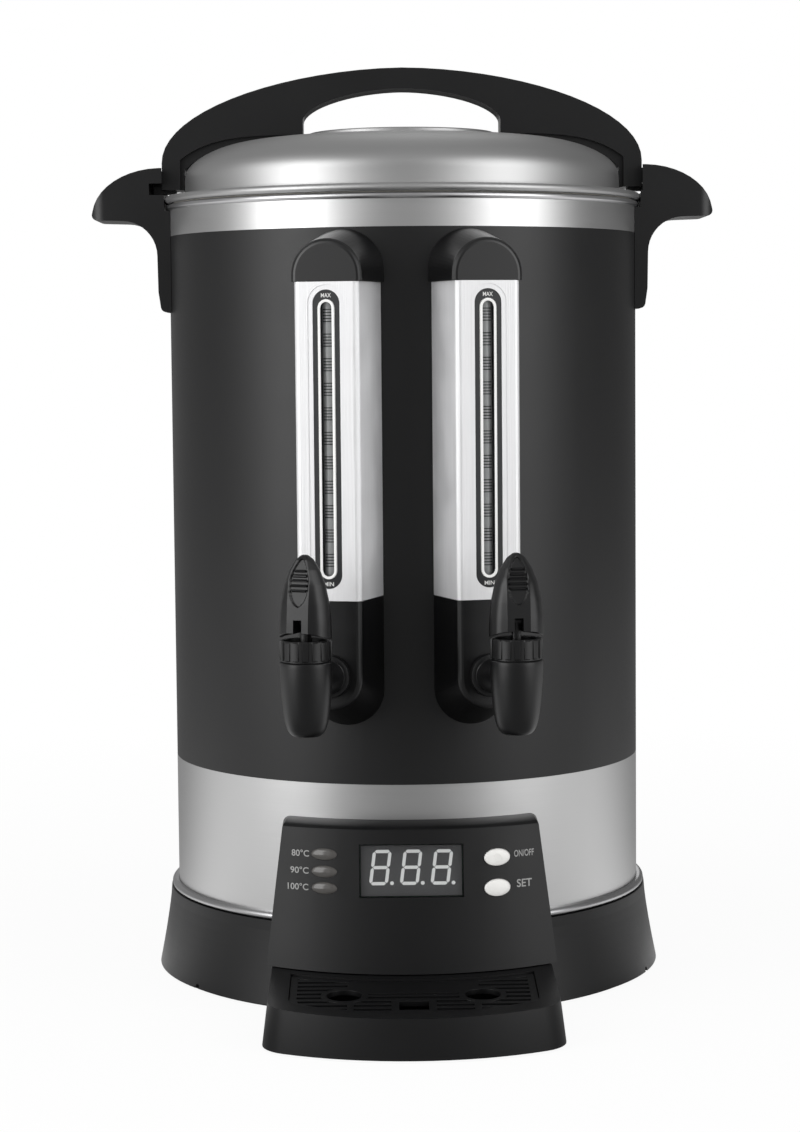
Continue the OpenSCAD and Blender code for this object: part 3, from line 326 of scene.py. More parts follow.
# Smoked acrylic of the unlit indicator lamps.
LAMP_LENS = Finish("smoked_lamp_lens", "#4f4d4b", 0.14, 0.02, ior=1.49, grain_depth_mm=0.002, tint=0.1)
# White ABS of the push buttons.
WHITE_ABS = Finish("white_moulded_abs", "#ecebe8", 0.32, 0.03, grain_mm=0.5, grain_depth_mm=0.003, tint=0.02)
# White pad-printing ink.
WHITE_INK = Finish("white_printing_ink", "#d9d9d7", 0.5, 0.03, grain_mm=0.3, grain_depth_mm=0.002, tint=0.05)
# Grey-white pad-printing ink of the console's labels.
LABEL_INK = Finish("grey_printing_ink", "#989897", 0.5, 0.03, grain_mm=0.3, grain_depth_mm=0.002, tint=0.05)
# Black pad-printing ink of the level marks.
BLACK_INK = Finish("black_printing_ink", "#1c1c1e", 0.45, 0.03, grain_mm=0.3, grain_depth_mm=0.002, tint=0.05)
# Anodised scale plate: dark satin grey.
SCALE_PLATE = Finish(
    "anodised_scale_plate", "#1e1f21", 0.32, 0.04, grain_mm=0.4, grain_depth_mm=0.002, tint=0.06,
)
# White surround of the sight glass.
SCALE_RIM = Finish("white_scale_rim", "#f0f0ee", 0.3, 0.02, grain_depth_mm=0.002, tint=0.02)
# Green solder mask over the circuit boards' weave.
SOLDER_MASK = Finish("solder_mask", "#1c4a2c", 0.35, 0.06, grain_mm=0.6, grain_depth_mm=0.01, tint=0.12)
# Phenolic bodies of the thermostats.
PHENOLIC = Finish("phenolic_resin", "#57493a", 0.5, 0.06, grain_mm=0.5, grain_depth_mm=0.01, tint=0.15)


def paint(finish: Finish, *nodes: str) -> None:
    """Gives CAD nodes a finish through their own material slots.

    Args:
        finish: The finish.
        nodes: The nodes' names.
    """
    for node in nodes:
        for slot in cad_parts[node].material_slots:
            slot.material = finish.material()


# ------------------------------------------------------------------ mesh building


@dataclass(frozen=True)
class Rounding:
    """How a piece's sharp edges are rounded.

    Attributes:
        radius_mm: The rounding's size.
        steps: The rounding's segments.
        from_deg: The least angle of an edge that is rounded.
    """

    radius_mm: float
    steps: int = 3
    from_deg: float = 40.0


def dress_mesh(
    piece: bpy.types.Object, finish: Finish, rounding: Rounding | None = None, smooth_deg: float = 35.0
) -> bpy.types.Object:
    """Gives a piece its finish, smooth shading and rounded edges.

    Args:
        piece: The piece.
        finish: Its finish.
        rounding: How sharp edges are rounded, if they are.
        smooth_deg: The angle from which an edge stays sharp.

    Returns:
        The same piece.
    """
    mesh = piece.data
    mesh.materials.clear()
    mesh.materials.append(finish.material())
    mesh.polygons.foreach_set("use_smooth", [True] * len(mesh.polygons))
    mesh.set_sharp_from_angle(angle=math.radians(smooth_deg))
    if rounding:
        bevel = piece.modifiers.new("rounding", "BEVEL")
        bevel.width = rounding.radius_mm * MM
        bevel.segments = rounding.steps
        bevel.limit_method = "ANGLE"
        bevel.angle_limit = math.radians(rounding.from_deg)
        bevel.harden_normals = True
    return piece


def link(name: str, mesh: bpy.types.Mesh) -> bpy.types.Object:
    """Makes an object for a mesh and puts it in the scene."""
    piece = bpy.data.objects.new(name, mesh)
    bpy.context.scene.collection.objects.link(piece)
    return piece


def close_up(mesh: bpy.types.Mesh) -> None:
    """Merges a mesh's doubled points and turns its faces outwards."""
    work = bmesh.new()
    work.from_mesh(mesh)
    bmesh.ops.remove_doubles(work, verts=work.verts, dist=WELD)
    bmesh.ops.recalc_face_normals(work, faces=work.faces)
    work.to_mesh(mesh)
    work.free()


def arc(radius: float, start_deg: float, end_deg: float, steps: int, centre: Point = (0.0, 0.0)) -> Line:
    """Points of an arc, with both its ends."""
    turns = [math.radians(start_deg + (end_deg - start_deg) * i / steps) for i in range(steps + 1)]
    return [(centre[0] + radius * math.cos(a), centre[1] + radius * math.sin(a)) for a in turns]


def oval(width: float, height: float, steps: int = 40) -> Line:
    """Points of an ellipse about the origin."""
    turns = [math.tau * i / steps for i in range(steps)]
    return [(width / 2 * math.cos(a), height / 2 * math.sin(a)) for a in turns]


@dataclass
class Shape:
    """Points and faces of one piece, which become one mesh.

    Attributes:
        points: Places in millimetres.
        faces: Each face's point numbers.
    """

    points: list[Vector] = field(default_factory=list)
    faces: list[tuple[int, ...]] = field(default_factory=list)

    def add(
        self, points: Sequence[Point], faces: Sequence[Sequence[int]], place: Matrix = Matrix(),
    ) -> "Shape":
        """Adds points and faces.

        Args:
            points: Places in millimetres.
            faces: Point numbers, counted from the first new point.
            place: Where the points go.

        Returns:
            This shape.
        """
        start = len(self.points)
        self.points += [place @ Vector(point) for point in points]
        self.faces += [tuple(start + number for number in face) for face in faces]
        return self

    def loft(
        self, rings: Sequence[Sequence[Point]], place: Matrix = Matrix(), capped: bool = True,
    ) -> "Shape":
        """Joins closed rings of equal length into one skin.

        Args:
            rings: The rings, each a list of points.
            place: Where the skin goes.
            capped: Whether the first and last ring are closed.

        Returns:
            This shape.
        """
        count = len(rings[0])
        faces = [
            (low + i, low + (i + 1) % count, low + count + (i + 1) % count, low + count + i)
            for low in range(0, (len(rings) - 1) * count, count) for i in range(count)
        ]
        if capped:
            last = (len(rings) - 1) * count
            faces += [tuple(reversed(range(count))), tuple(range(last, last + count))]
        return self.add([point for ring in rings for point in ring], faces, place)

    def lathe(self, profile: Sequence[Point], steps: int = 64, place: Matrix = Matrix()) -> "Shape":
        """Turns a line of (radius, height) points about Z.

        Args:
            profile: The line.
            steps: The number of steps round the axis.
            place: Where the turned skin goes.

        Returns:
            This shape.
        """
        rings = [[(x, y, z) for x, y in oval(2 * r, 2 * r, steps)] for r, z in profile]
        return self.loft(rings, place, capped=False)

    def prism(self, outline: Sequence[Point], low: float, high: float, place: Matrix = Matrix()) -> "Shape":
        """Stands a flat outline up between two heights."""
        return self.loft([[(x, y, z) for x, y in outline] for z in (low, high)], place)

    def level_square(self, half: float, z: float) -> "Shape":
        """Lays a square face about the axis at a height."""
        corners = [(-half, -half, z), (half, -half, z), (half, half, z), (-half, half, z)]
        return self.add(corners, [(0, 1, 2, 3)])

    def object(self, name: str) -> bpy.types.Object:
        """Makes the shape a mesh object in metres, merged and facing outwards."""
        mesh = bpy.data.meshes.new(name)
        mesh.from_pydata([point * MM for point in self.points], [], self.faces)
        close_up(mesh)
        return link(name, mesh)


def smooth_line(points: Sequence[Point], steps: int) -> Line:
    """Draws a smooth line through points.

    Args:
        points: Flat points that the line passes through.
        steps: The number of steps between two points.

    Returns:
        The line's points.
    """
    knots = [Vector(point) for point in points]
    knots = [2 * knots[0] - knots[1], *knots, 2 * knots[-1] - knots[-2]]
    line = []
    for before, start, end, after in zip(knots, knots[1:], knots[2:], knots[3:]):
        for step in range(steps):
            t = step / steps
            place = 0.5 * (
                2 * start + (end - before) * t + (2 * before - 5 * start + 4 * end - after) * t ** 2
                + (3 * start - before - 3 * end + after) * t ** 3
            )
            line.append((place.x, place.y))
    return line + [tuple(points[-1])]


def softened_copy(node: str, finish: Finish, rounding: Rounding | None = None) -> bpy.types.Object:
    """Copies a CAD node, joins its loose triangles into whole faces and rounds its edges.

    Args:
        node: The node's name.
        finish: The copy's finish.
        rounding: How its edges are rounded, if they are.

    Returns:
        The copy, which isn't installed yet.
    """
    flat_deg = 0.6
    work = bmesh.new()
    work.from_mesh(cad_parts[node].data)
    bmesh.ops.remove_doubles(work, verts=work.verts, dist=WELD)
    bmesh.ops.dissolve_limit(work, angle_limit=math.radians(flat_deg), verts=work.verts, edges=work.edges)
    mesh = bpy.data.meshes.new(f"{node}_soft")
    work.to_mesh(mesh)
    work.free()
    normals = mesh.attributes.get("custom_normal")
    if normals:
        mesh.attributes.remove(normals)
    return dress_mesh(link(f"{node}_soft", mesh), finish, rounding)


def install(piece: bpy.types.Object, body: str, slot: str, *nodes: str) -> None:
    """Puts a finished piece on its body and hides the CAD nodes that it stands for.

    Args:
        piece: The piece.
        body: The CAD body that it moves with.
        slot: The record's material slot; it is not used.
        nodes: The CAD nodes that it replaces.
    """
    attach(piece, body)
    if nodes:
        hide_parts(*nodes)
    log.info("%s rides on %s, %d faces", piece.name, body, len(piece.data.polygons))


def soften(node: str, body: str, finish: Finish, rounding: Rounding) -> None:
    """Puts a rounded copy of a black moulding in its CAD node's place.

    Args:
        node: The node's name.
        body: The body that it moves with.
        finish: The copy's finish.
        rounding: How its edges are rounded.
    """
    install(softened_copy(node, finish, rounding), body, "black_plastic", node)


# ------------------------------------------------------------------ geometry nodes


def new_tree(name: str, inputs: dict[str, str]) -> tuple[bpy.types.NodeTree, bpy.types.Node, dict[str, str]]:
    """Starts a geometry tree with named inputs.

    Args:
        name: The tree's name.
        inputs: Socket types by input name, after the geometry.

    Returns:
        The tree, its input node, and each input's identifier by name.
    """
    tree = bpy.data.node_groups.new(name, "GeometryNodeTree")
    tree.interface.new_socket("Geometry", in_out="INPUT", socket_type="NodeSocketGeometry")
    names = {
        name: tree.interface.new_socket(name, in_out="INPUT", socket_type=kind).identifier
        for name, kind in inputs.items()
    }
    tree.interface.new_socket("Geometry", in_out="OUTPUT", socket_type="NodeSocketGeometry")
    return tree, add_node(tree, "NodeGroupInput"), names


def end_tree(tree: bpy.types.NodeTree, given: bpy.types.Node, geometry: bpy.types.NodeSocket) -> None:
    """Ends a geometry tree: real geometry, merged, with its material set."""
    real = add_node(tree, "GeometryNodeRealizeInstances", feeds={0: geometry})
    merged = add_node(tree, "GeometryNodeMergeByDistance", feeds={0: real.outputs[0], "Distance": WELD})
    dressed = add_node(tree, "GeometryNodeSetMaterial", feeds={
        0: merged.outputs[0], "Material": given.outputs["Material"],
    })
    add_node(tree, "NodeGroupOutput", feeds={0: dressed.outputs[0]})


def grow(
    piece: bpy.types.Object, grown: tuple[bpy.types.NodeTree, dict[str, str]], values: dict[str, object]
) -> bpy.types.Object:
    """Runs a geometry tree on a piece and keeps its result as a plain mesh.

    Args:
        piece: The object whose mesh is fed to the tree.
        grown: The tree and its inputs' identifiers.
        values: The inputs' values by name.

    Returns:
        The same piece, with the result as its mesh.
    """
    tree, names = grown
    modifier = piece.modifiers.new(tree.name, "NODES")
    modifier.node_group = tree
    for name, value in values.items():
        modifier[names[name]] = value
    graph = bpy.context.evaluated_depsgraph_get()
    mesh = bpy.data.meshes.new_from_object(piece.evaluated_get(graph))
    piece.modifiers.clear()
    piece.data = mesh
    return piece


def rows_tree() -> tuple[bpy.types.NodeTree, dict[str, str]]:
    """Makes the tree that repeats a shape in a row, and that row in groups."""
    tree, given, names = new_tree("repeat_in_rows", {
        "Copies": "NodeSocketInt", "Step": "NodeSocketVector", "Groups": "NodeSocketInt",
        "Group Step": "NodeSocketVector", "Material": "NodeSocketMaterial",
    })
    geometry = given.outputs["Geometry"]
    for count, step in (("Copies", "Step"), ("Groups", "Group Step")):
        line = add_node(tree, "GeometryNodeMeshLine", feeds={
            "Count": given.outputs[count], "Offset": given.outputs[step],
        })
        copies = add_node(tree, "GeometryNodeInstanceOnPoints", feeds={
            "Points": line.outputs[0], "Instance": geometry,
        })
        geometry = add_node(tree, "GeometryNodeRealizeInstances", feeds={0: copies.outputs[0]}).outputs[0]
    end_tree(tree, given, geometry)
    return tree, names


def ring_tree() -> tuple[bpy.types.NodeTree, dict[str, str]]:
    """Makes the tree that repeats a shape round an upright axis."""
    tree, given, names = new_tree("repeat_in_ring", {
        "Copies": "NodeSocketInt", "Centre": "NodeSocketVector", "Material": "NodeSocketMaterial",
    })
    still = add_node(
        tree, "GeometryNodeMeshLine", feeds={"Count": given.outputs["Copies"], "Offset": (0, 0, 0)},
    )
    number = add_node(tree, "GeometryNodeInputIndex")
    share = add_node(tree, "ShaderNodeMath", {"operation": "DIVIDE"}, {
        0: number.outputs[0], 1: given.outputs["Copies"],
    })
    angle = add_node(tree, "ShaderNodeMath", {"operation": "MULTIPLY"}, {0: share.outputs[0], 1: math.tau})
    turn = add_node(tree, "ShaderNodeCombineXYZ", feeds={"Z": angle.outputs[0]})
    copies = add_node(tree, "GeometryNodeInstanceOnPoints", feeds={
        "Points": still.outputs[0], "Instance": given.outputs["Geometry"], "Rotation": turn.outputs[0],
    })
    moved = add_node(tree, "GeometryNodeTransform", feeds={
        "Geometry": copies.outputs[0], "Translation": given.outputs["Centre"],
    })
    end_tree(tree, given, moved.outputs[0])
    return tree, names


def crown_tree() -> tuple[bpy.types.NodeTree, dict[str, str]]:
    """Makes the tree that adds a domed crown, which falls from its top by a power rule, to a lid's rim."""
    tree, given, names = new_tree("domed_crown", {
        "Steps Round": "NodeSocketInt", "Steps Out": "NodeSocketInt", "Inner Radius": "NodeSocketFloat",
        "End Radius": "NodeSocketFloat", "Outer Radius": "NodeSocketFloat", "Foot Height": "NodeSocketFloat",
        "Rise": "NodeSocketFloat", "Fullness": "NodeSocketFloat", "Shoulder": "NodeSocketFloat",
        "Material": "NodeSocketMaterial",
    })
    grid = add_node(tree, "GeometryNodeMeshGrid", feeds={
        "Size X": 1.0, "Size Y": 1.0, "Vertices X": given.outputs["Steps Round"],
        "Vertices Y": given.outputs["Steps Out"],
    })
    cell = add_node(
        tree, "ShaderNodeSeparateXYZ", feeds={0: add_node(tree, "GeometryNodeInputPosition").outputs[0]},
    )
    sockets = {"x": cell.outputs["X"], "y": cell.outputs["Y"]} | {name: given.outputs[name] for name in names}
    # Each row: a result, the operation, and what goes in: an earlier result's name, or a number.
    rule = (
        ("round", "ADD", "x", 0.5), ("angle", "MULTIPLY", "round", math.tau), ("along", "ADD", "y", 0.5),
        ("quarter", "MULTIPLY", "along", math.pi / 2), ("out", "SINE", "quarter", 0.0),
        ("width", "SUBTRACT", "End Radius", "Inner Radius"), ("reach", "MULTIPLY", "width", "out"),
        ("radius", "ADD", "reach", "Inner Radius"), ("share", "DIVIDE", "radius", "Outer Radius"),
        ("drop", "POWER", "share", "Fullness"), ("left", "SUBTRACT", 1.0, "drop"),
        ("kept", "MAXIMUM", "left", 0.0),
        ("fall", "POWER", "kept", "Shoulder"), ("rise", "MULTIPLY", "fall", "Rise"),
        ("height", "ADD", "rise", "Foot Height"), ("cosine", "COSINE", "angle", 0.0),
        ("sine", "SINE", "angle", 0.0),
        ("across", "MULTIPLY", "radius", "cosine"), ("deep", "MULTIPLY", "radius", "sine"),
    )
    for result, operation, first, second in rule:
        step = add_node(tree, "ShaderNodeMath", {"operation": operation}, {
            0: sockets.get(first, first), 1: sockets.get(second, second),
        })
        sockets[result] = step.outputs[0]
    place = add_node(tree, "ShaderNodeCombineXYZ", feeds={
        "X": sockets["across"], "Y": sockets["deep"], "Z": sockets["height"],
    })
    dome = add_node(tree, "GeometryNodeSetPosition", feeds={
        "Geometry": grid.outputs["Mesh"], "Position": place.outputs[0],
    })
    both = add_node(tree, "GeometryNodeJoinGeometry", feeds={0: dome.outputs[0]})
    tree.links.new(given.outputs["Geometry"], both.inputs[0])
    end_tree(tree, given, both.outputs[0])
    return tree, names


ROWS = rows_tree()
RING = ring_tree()
CROWN = crown_tree()


# ------------------------------------------------------------------ lettering


def lettering(
    name: str, words: str, size_mm: tuple[float, float], place: Callable[[float, float], Vector],
    thick_mm: float = 0.06,
) -> bpy.types.Object:
    """Makes printed words that lie on a surface.

    Args:
        name: The piece's name.
        words: What is printed.
        size_mm: The width and the height of the words.
        place: Gives the surface's point, in millimetres, for a point (across, up) of the centred words.
        thick_mm: The ink's thickness.

    Returns:
        The words as a mesh in metres.
    """
    curve = bpy.data.curves.new(name, "FONT")
    curve.body = words
    curve.size = size_mm[1]
    curve.extrude = thick_mm / 2
    curve.offset = size_mm[1] * INK_SPREAD
    flat = link(name, curve)
    mesh = bpy.data.meshes.new_from_object(flat.evaluated_get(bpy.context.evaluated_depsgraph_get()))
    bpy.data.objects.remove(flat)
    lows, highs = ([pick(v.co[i] for v in mesh.vertices) for i in range(2)] for pick in (min, max))
    for vertex in mesh.vertices:
        across, up = (((vertex.co[i] - lows[i]) / (highs[i] - lows[i]) - 0.5) * size_mm[i] for i in range(2))
        vertex.co = (place(across, up) + Vector((0, -vertex.co[2], 0))) * MM
    close_up(mesh)
    return link(name, mesh)


# ------------------------------------------------------------------ studio


@dataclass(frozen=True)
class Softbox:
    """A lamp that faces the body's middle.

    Attributes:
        name: The lamp's name.
        turn_deg: Its angle round the body from the front.
        height: Its middle's height, in metres.
        away: Its distance from the axis, in metres.
        size: Its width and height, in metres.
        watts: Its power.
        mirrored: Whether reflections show it.
    """

    name: str
    turn_deg: float
    height: float
    away: float
    size: tuple[float, float]
    watts: float
    mirrored: bool = True


SOFTBOXES = (
    Softbox("left_softbox", turn_deg=-53, height=0.6, away=1.3, size=(0.75, 1.2), watts=9.0),
    Softbox("right_softbox", turn_deg=52, height=0.6, away=1.3, size=(0.75, 1.2), watts=6.2),
    Softbox("top_softbox", turn_deg=0, height=1.6, away=0.3, size=(1.4, 1.0), watts=7.0, mirrored=False),
)


@dataclass
class Studio:
    """The camera, the lamps, the floor and the cards that metal and gloss mirror.

    Attributes:
        image: The frame's width and height in pixels.
        focal_px: The lens's focal length in pixels of the frame.
        distance: The camera's distance from the body's axis, in metres.
        height: The camera's height over the table, in metres.
        pitch_deg, yaw_deg, pan_deg, roll_deg: The camera's angles.
        sensor_mm: The height of the camera's sensor.
        aim_z: The height of the body's middle, at which the lamps are aimed, in metres.
        sky: The light of the surroundings on dull faces.
        floor_half: Half the floor's width.
        floor_fade: The distances between which the floor fades to white, in metres.
        floor_share: How bright the floor looks where the fade starts.
        floor_gloss: How bright gloss and metal see the floor before the object and beside it.
        floor_pool: The power by which that brightness keeps to the sides.
        card_r, card_h: The distance and the height of the cards.
        cards: The cards round the object: name, first and last angle from the front, brightness.
        overhead: How bright the card overhead looks beside the white surroundings.
        dark_half, dark_y, dark_z: The dark card behind the lid handle: half width, place, heights.
        dark: How bright the dark card looks.
    """

    image: tuple[int, int] = (800, 1132)
    focal_px: float = 2677
    distance: float = 1.452
    height: float = 0.3357
    pitch_deg: float = 4.745
    yaw_deg: float = 0.75
    pan_deg: float = 0.11
    roll_deg: float = -0.505
    sensor_mm: float = 36.0
    aim_z: float = 0.25
    sky: float = 0.45
    floor_half: float = 3000.0
    floor_fade: tuple[float, float] = (0.25, 0.9)
    floor_share: float = 0.93
    floor_gloss: tuple[float, float] = (0.3, 1.15)
    floor_pool: float = 7.0
    card_r: float = 1900.0
    card_h: float = 2600.0
    cards: tuple[tuple[str, float, float, float], ...] = (
        ("front_card", -20, 20, 0.34), ("left_card", -174, -84, 0.34), ("right_card", 78, 168, 0.2),
    )
    overhead: float = 0.45
    dark_half: float = 130.0
    dark_y: float = 700.0
    dark_z: tuple[float, float] = (250.0, 460.0)
    dark: float = 0.02

    def build(self) -> None:
        """Makes everything that isn't the object."""
        self.camera()
        self.world()
        self.floor()
        for softbox in SOFTBOXES:
            self.lamp(softbox)
        for name, start, end, radiance in self.cards:
            self.card(name, self.wall(start, end), radiance)
        self.card("overhead_card", Shape().level_square(self.card_r, self.card_h), self.overhead)
        half, y, (low, high) = self.dark_half, self.dark_y, self.dark_z
        corners = [(-half, y, low), (half, y, low), (half, y, high), (-half, y, high)]
        behind = Shape().add(corners, [(0, 1, 2, 3)])
        self.card("dark_card", behind, self.dark)

    def camera(self) -> None:
        """Sets the camera before the urn, a little above its middle."""
        data = bpy.data.cameras.new("camera")
        data.sensor_fit = "VERTICAL"
        data.sensor_height = self.sensor_mm
        data.lens = self.focal_px / self.image[1] * self.sensor_mm
        camera = link("camera", data)
        yaw, pan = math.radians(self.yaw_deg), math.radians(self.pan_deg)
        turn = (
            Matrix.Rotation(pan - yaw, 4, "Z") @ Matrix.Rotation(math.radians(90 - self.pitch_deg), 4, "X")
            @ Matrix.Rotation(math.radians(self.roll_deg), 4, "Z")
        )
        camera.location = (-self.distance * math.sin(yaw), -self.distance * math.cos(yaw), self.height)
        camera.rotation_euler = turn.to_euler()
        bpy.context.scene.camera = camera
        bpy.context.scene.view_settings.view_transform = "Standard"

    def world(self) -> None:
        """Makes the surroundings: white to the eye, to gloss and through glass, and a soft grey as light."""
        world = bpy.data.worlds.new("studio")
        bpy.context.scene.world = world
        world.use_nodes = True
        tree = world.node_tree
        path = add_node(tree, "ShaderNodeLightPath")
        seen = add_node(tree, "ShaderNodeMath", {"operation": "ADD"}, {
            0: path.outputs["Is Camera Ray"], 1: path.outputs["Is Glossy Ray"],
        })
        seen = add_node(tree, "ShaderNodeMath", {"operation": "ADD", "use_clamp": True}, {
            0: seen.outputs[0], 1: path.outputs["Is Transmission Ray"],
        })
        strength = add_node(tree, "ShaderNodeMapRange", feeds={
            "Value": seen.outputs[0], "To Min": self.sky, "To Max": 1.0,
        })
        tree.links.new(strength.outputs[0], tree.nodes["Background"].inputs["Strength"])
        tree.nodes["Background"].inputs["Color"].default_value = linear(WHITE)

    def floor(self) -> None:
        """Makes a pale floor that keeps the object's soft shadow and fades to white."""
        plane = Shape().level_square(self.floor_half, 0).object("floor")
        material, tree = new_material("white_floor")
        shader = tree.nodes["Principled BSDF"]
        shader.inputs["Base Color"].default_value = linear("#f4f4f4")
        shader.inputs["Roughness"].default_value = 0.9
        place = add_node(tree, "ShaderNodeTexCoord").outputs["Object"]
        reach = add_node(tree, "ShaderNodeVectorMath", {"operation": "LENGTH"}, {0: place})
        share = add_node(tree, "ShaderNodeMapRange", feeds={
            "Value": reach.outputs["Value"], "From Min": self.floor_fade[0], "From Max": self.floor_fade[1],
            "To Min": self.floor_share, "To Max": 1.0,
        })
        path = add_node(tree, "ShaderNodeLightPath")
        seen = add_node(tree, "ShaderNodeMath", {"operation": "MULTIPLY"}, {
            0: path.outputs["Is Camera Ray"], 1: share.outputs[0],
        })
        mix = add_node(tree, "ShaderNodeMath", {"operation": "ADD", "use_clamp": True}, {
            0: path.outputs["Is Glossy Ray"], 1: seen.outputs[0],
        })
        axes = add_node(tree, "ShaderNodeSeparateXYZ", feeds={0: place})
        aside = add_node(tree, "ShaderNodeMath", {"operation": "DIVIDE"}, {
            0: axes.outputs[0], 1: reach.outputs["Value"],
        })
        aside = add_node(tree, "ShaderNodeMath", {"operation": "ABSOLUTE"}, {0: aside.outputs[0]})
        pool = add_node(
            tree, "ShaderNodeMath", {"operation": "POWER"}, {0: aside.outputs[0], 1: self.floor_pool},
        )
        gloss = add_node(tree, "ShaderNodeMapRange", feeds={
            "Value": pool.outputs[0], "To Min": self.floor_gloss[0], "To Max": self.floor_gloss[1],
        })
        strength = add_node(tree, "ShaderNodeMix", {"data_type": "FLOAT"}, {
            0: path.outputs["Is Glossy Ray"], 2: 1.0, 3: gloss.outputs[0],
        })
        white = add_node(tree, "ShaderNodeEmission", feeds={
            "Color": linear(WHITE), "Strength": strength.outputs[0],
        })
        both = add_node(tree, "ShaderNodeMixShader", feeds={
            0: mix.outputs[0], 1: shader.outputs[0], 2: white.outputs[0],
        })
        tree.links.new(both.outputs[0], tree.nodes["Material Output"].inputs["Surface"])
        plane.data.materials.append(material)

    def lamp(self, box: Softbox) -> None:
        """Hangs a softbox and aims it at the body's middle."""
        data = bpy.data.lights.new(box.name, "AREA")
        data.shape = "RECTANGLE"
        data.size, data.size_y = box.size
        data.energy = box.watts
        lamp = link(box.name, data)
        turn = math.radians(box.turn_deg)
        lamp.location = (box.away * math.sin(turn), -box.away * math.cos(turn), box.height)
        aim = Vector((0, 0, self.aim_z)) - lamp.location
        lamp.rotation_euler = aim.to_track_quat("-Z", "Y").to_euler()
        lamp.visible_glossy = box.mirrored

    def wall(self, start_deg: float, end_deg: float) -> Shape:
        """A curved wall round the object, between two angles round the body from the front."""
        steps = 12
        line = arc(self.card_r, start_deg - 90, end_deg - 90, steps)
        points = [(x, y, z) for x, y in line for z in (0, self.card_h)]
        return Shape().add(points, [(2 * i, 2 * i + 2, 2 * i + 3, 2 * i + 1) for i in range(steps)])

    def card(self, name: str, shape: Shape, radiance: float) -> None:
        """Stands a grey card that only reflections show.

        Args:
            name: The card's name.
            shape: Its faces.
            radiance: How bright it looks beside the white surroundings.
        """
        card = shape.object(name)
        material, tree = new_material(name)
        light = add_node(tree, "ShaderNodeEmission", feeds={"Color": linear(WHITE), "Strength": radiance})
        tree.links.new(light.outputs[0], tree.nodes["Material Output"].inputs["Surface"])
        card.data.materials.append(material)
        for ray in ("camera", "diffuse", "shadow", "transmission"):
            setattr(card, f"visible_{ray}", False)


# ------------------------------------------------------------------ sub-assemblies

# The steps round the lid and the tank's rim
BODY_STEPS = 160


@dataclass
class Base:
    """The skirt, the trim, the bottom and what stands on the table."""

    def build(self) -> None:
        """Dresses the base."""
        paint(BASE_NYLON, "base_ring")
        paint(ROLLED_TRIM, "base_trim_ring")
        paint(GALVANISED, "bottom_cover")
        paint(RUBBER, "foot_ring")
        paint(ZINC, "base_screws")
        paint(MOULDED_ABS, "power_inlet")


@dataclass
class BodyWalls:
    """The jacket, the bands and the tank.

    Attributes:
        rim_r, rim_z: The middle of the tank's rolled rim.
        roll_r: The roll's radius.
    """

    rim_r: float = 125.2
    rim_z: float = 408.7
    roll_r: float = 1.5

    def rolled_rim(self) -> bpy.types.Object:
        """Makes the smooth outer face of the tank's rolled rim."""
        line = arc(self.roll_r, 0, 360, 24, (self.rim_r, self.rim_z))
        return dress_mesh(Shape().lathe(line, BODY_STEPS).object("rolled_rim"), DRAWN_STEEL, smooth_deg=60)

    def build(self) -> None:
        """Dresses the walls."""
        install(self.rolled_rim(), "root", "tank_steel")
        paint(BRUSHED_STEEL, "lower_band", "top_band")
        paint(POWDER_COAT, "outer_shell")
        paint(DRAWN_STEEL, "inner_tank")


@dataclass
class InnerWorks:
    """What heats the water and drives the heater, inside the base."""

    def build(self) -> None:
        """Dresses the inner works."""
        paint(CAST_ALUMINIUM, "heating_element")
        paint(PHENOLIC, "thermostats")
        paint(DRAWN_STEEL, "temperature_sensor")
        paint(GALVANISED, "heat_shield")
        paint(SOLDER_MASK, "power_board", "control_board")


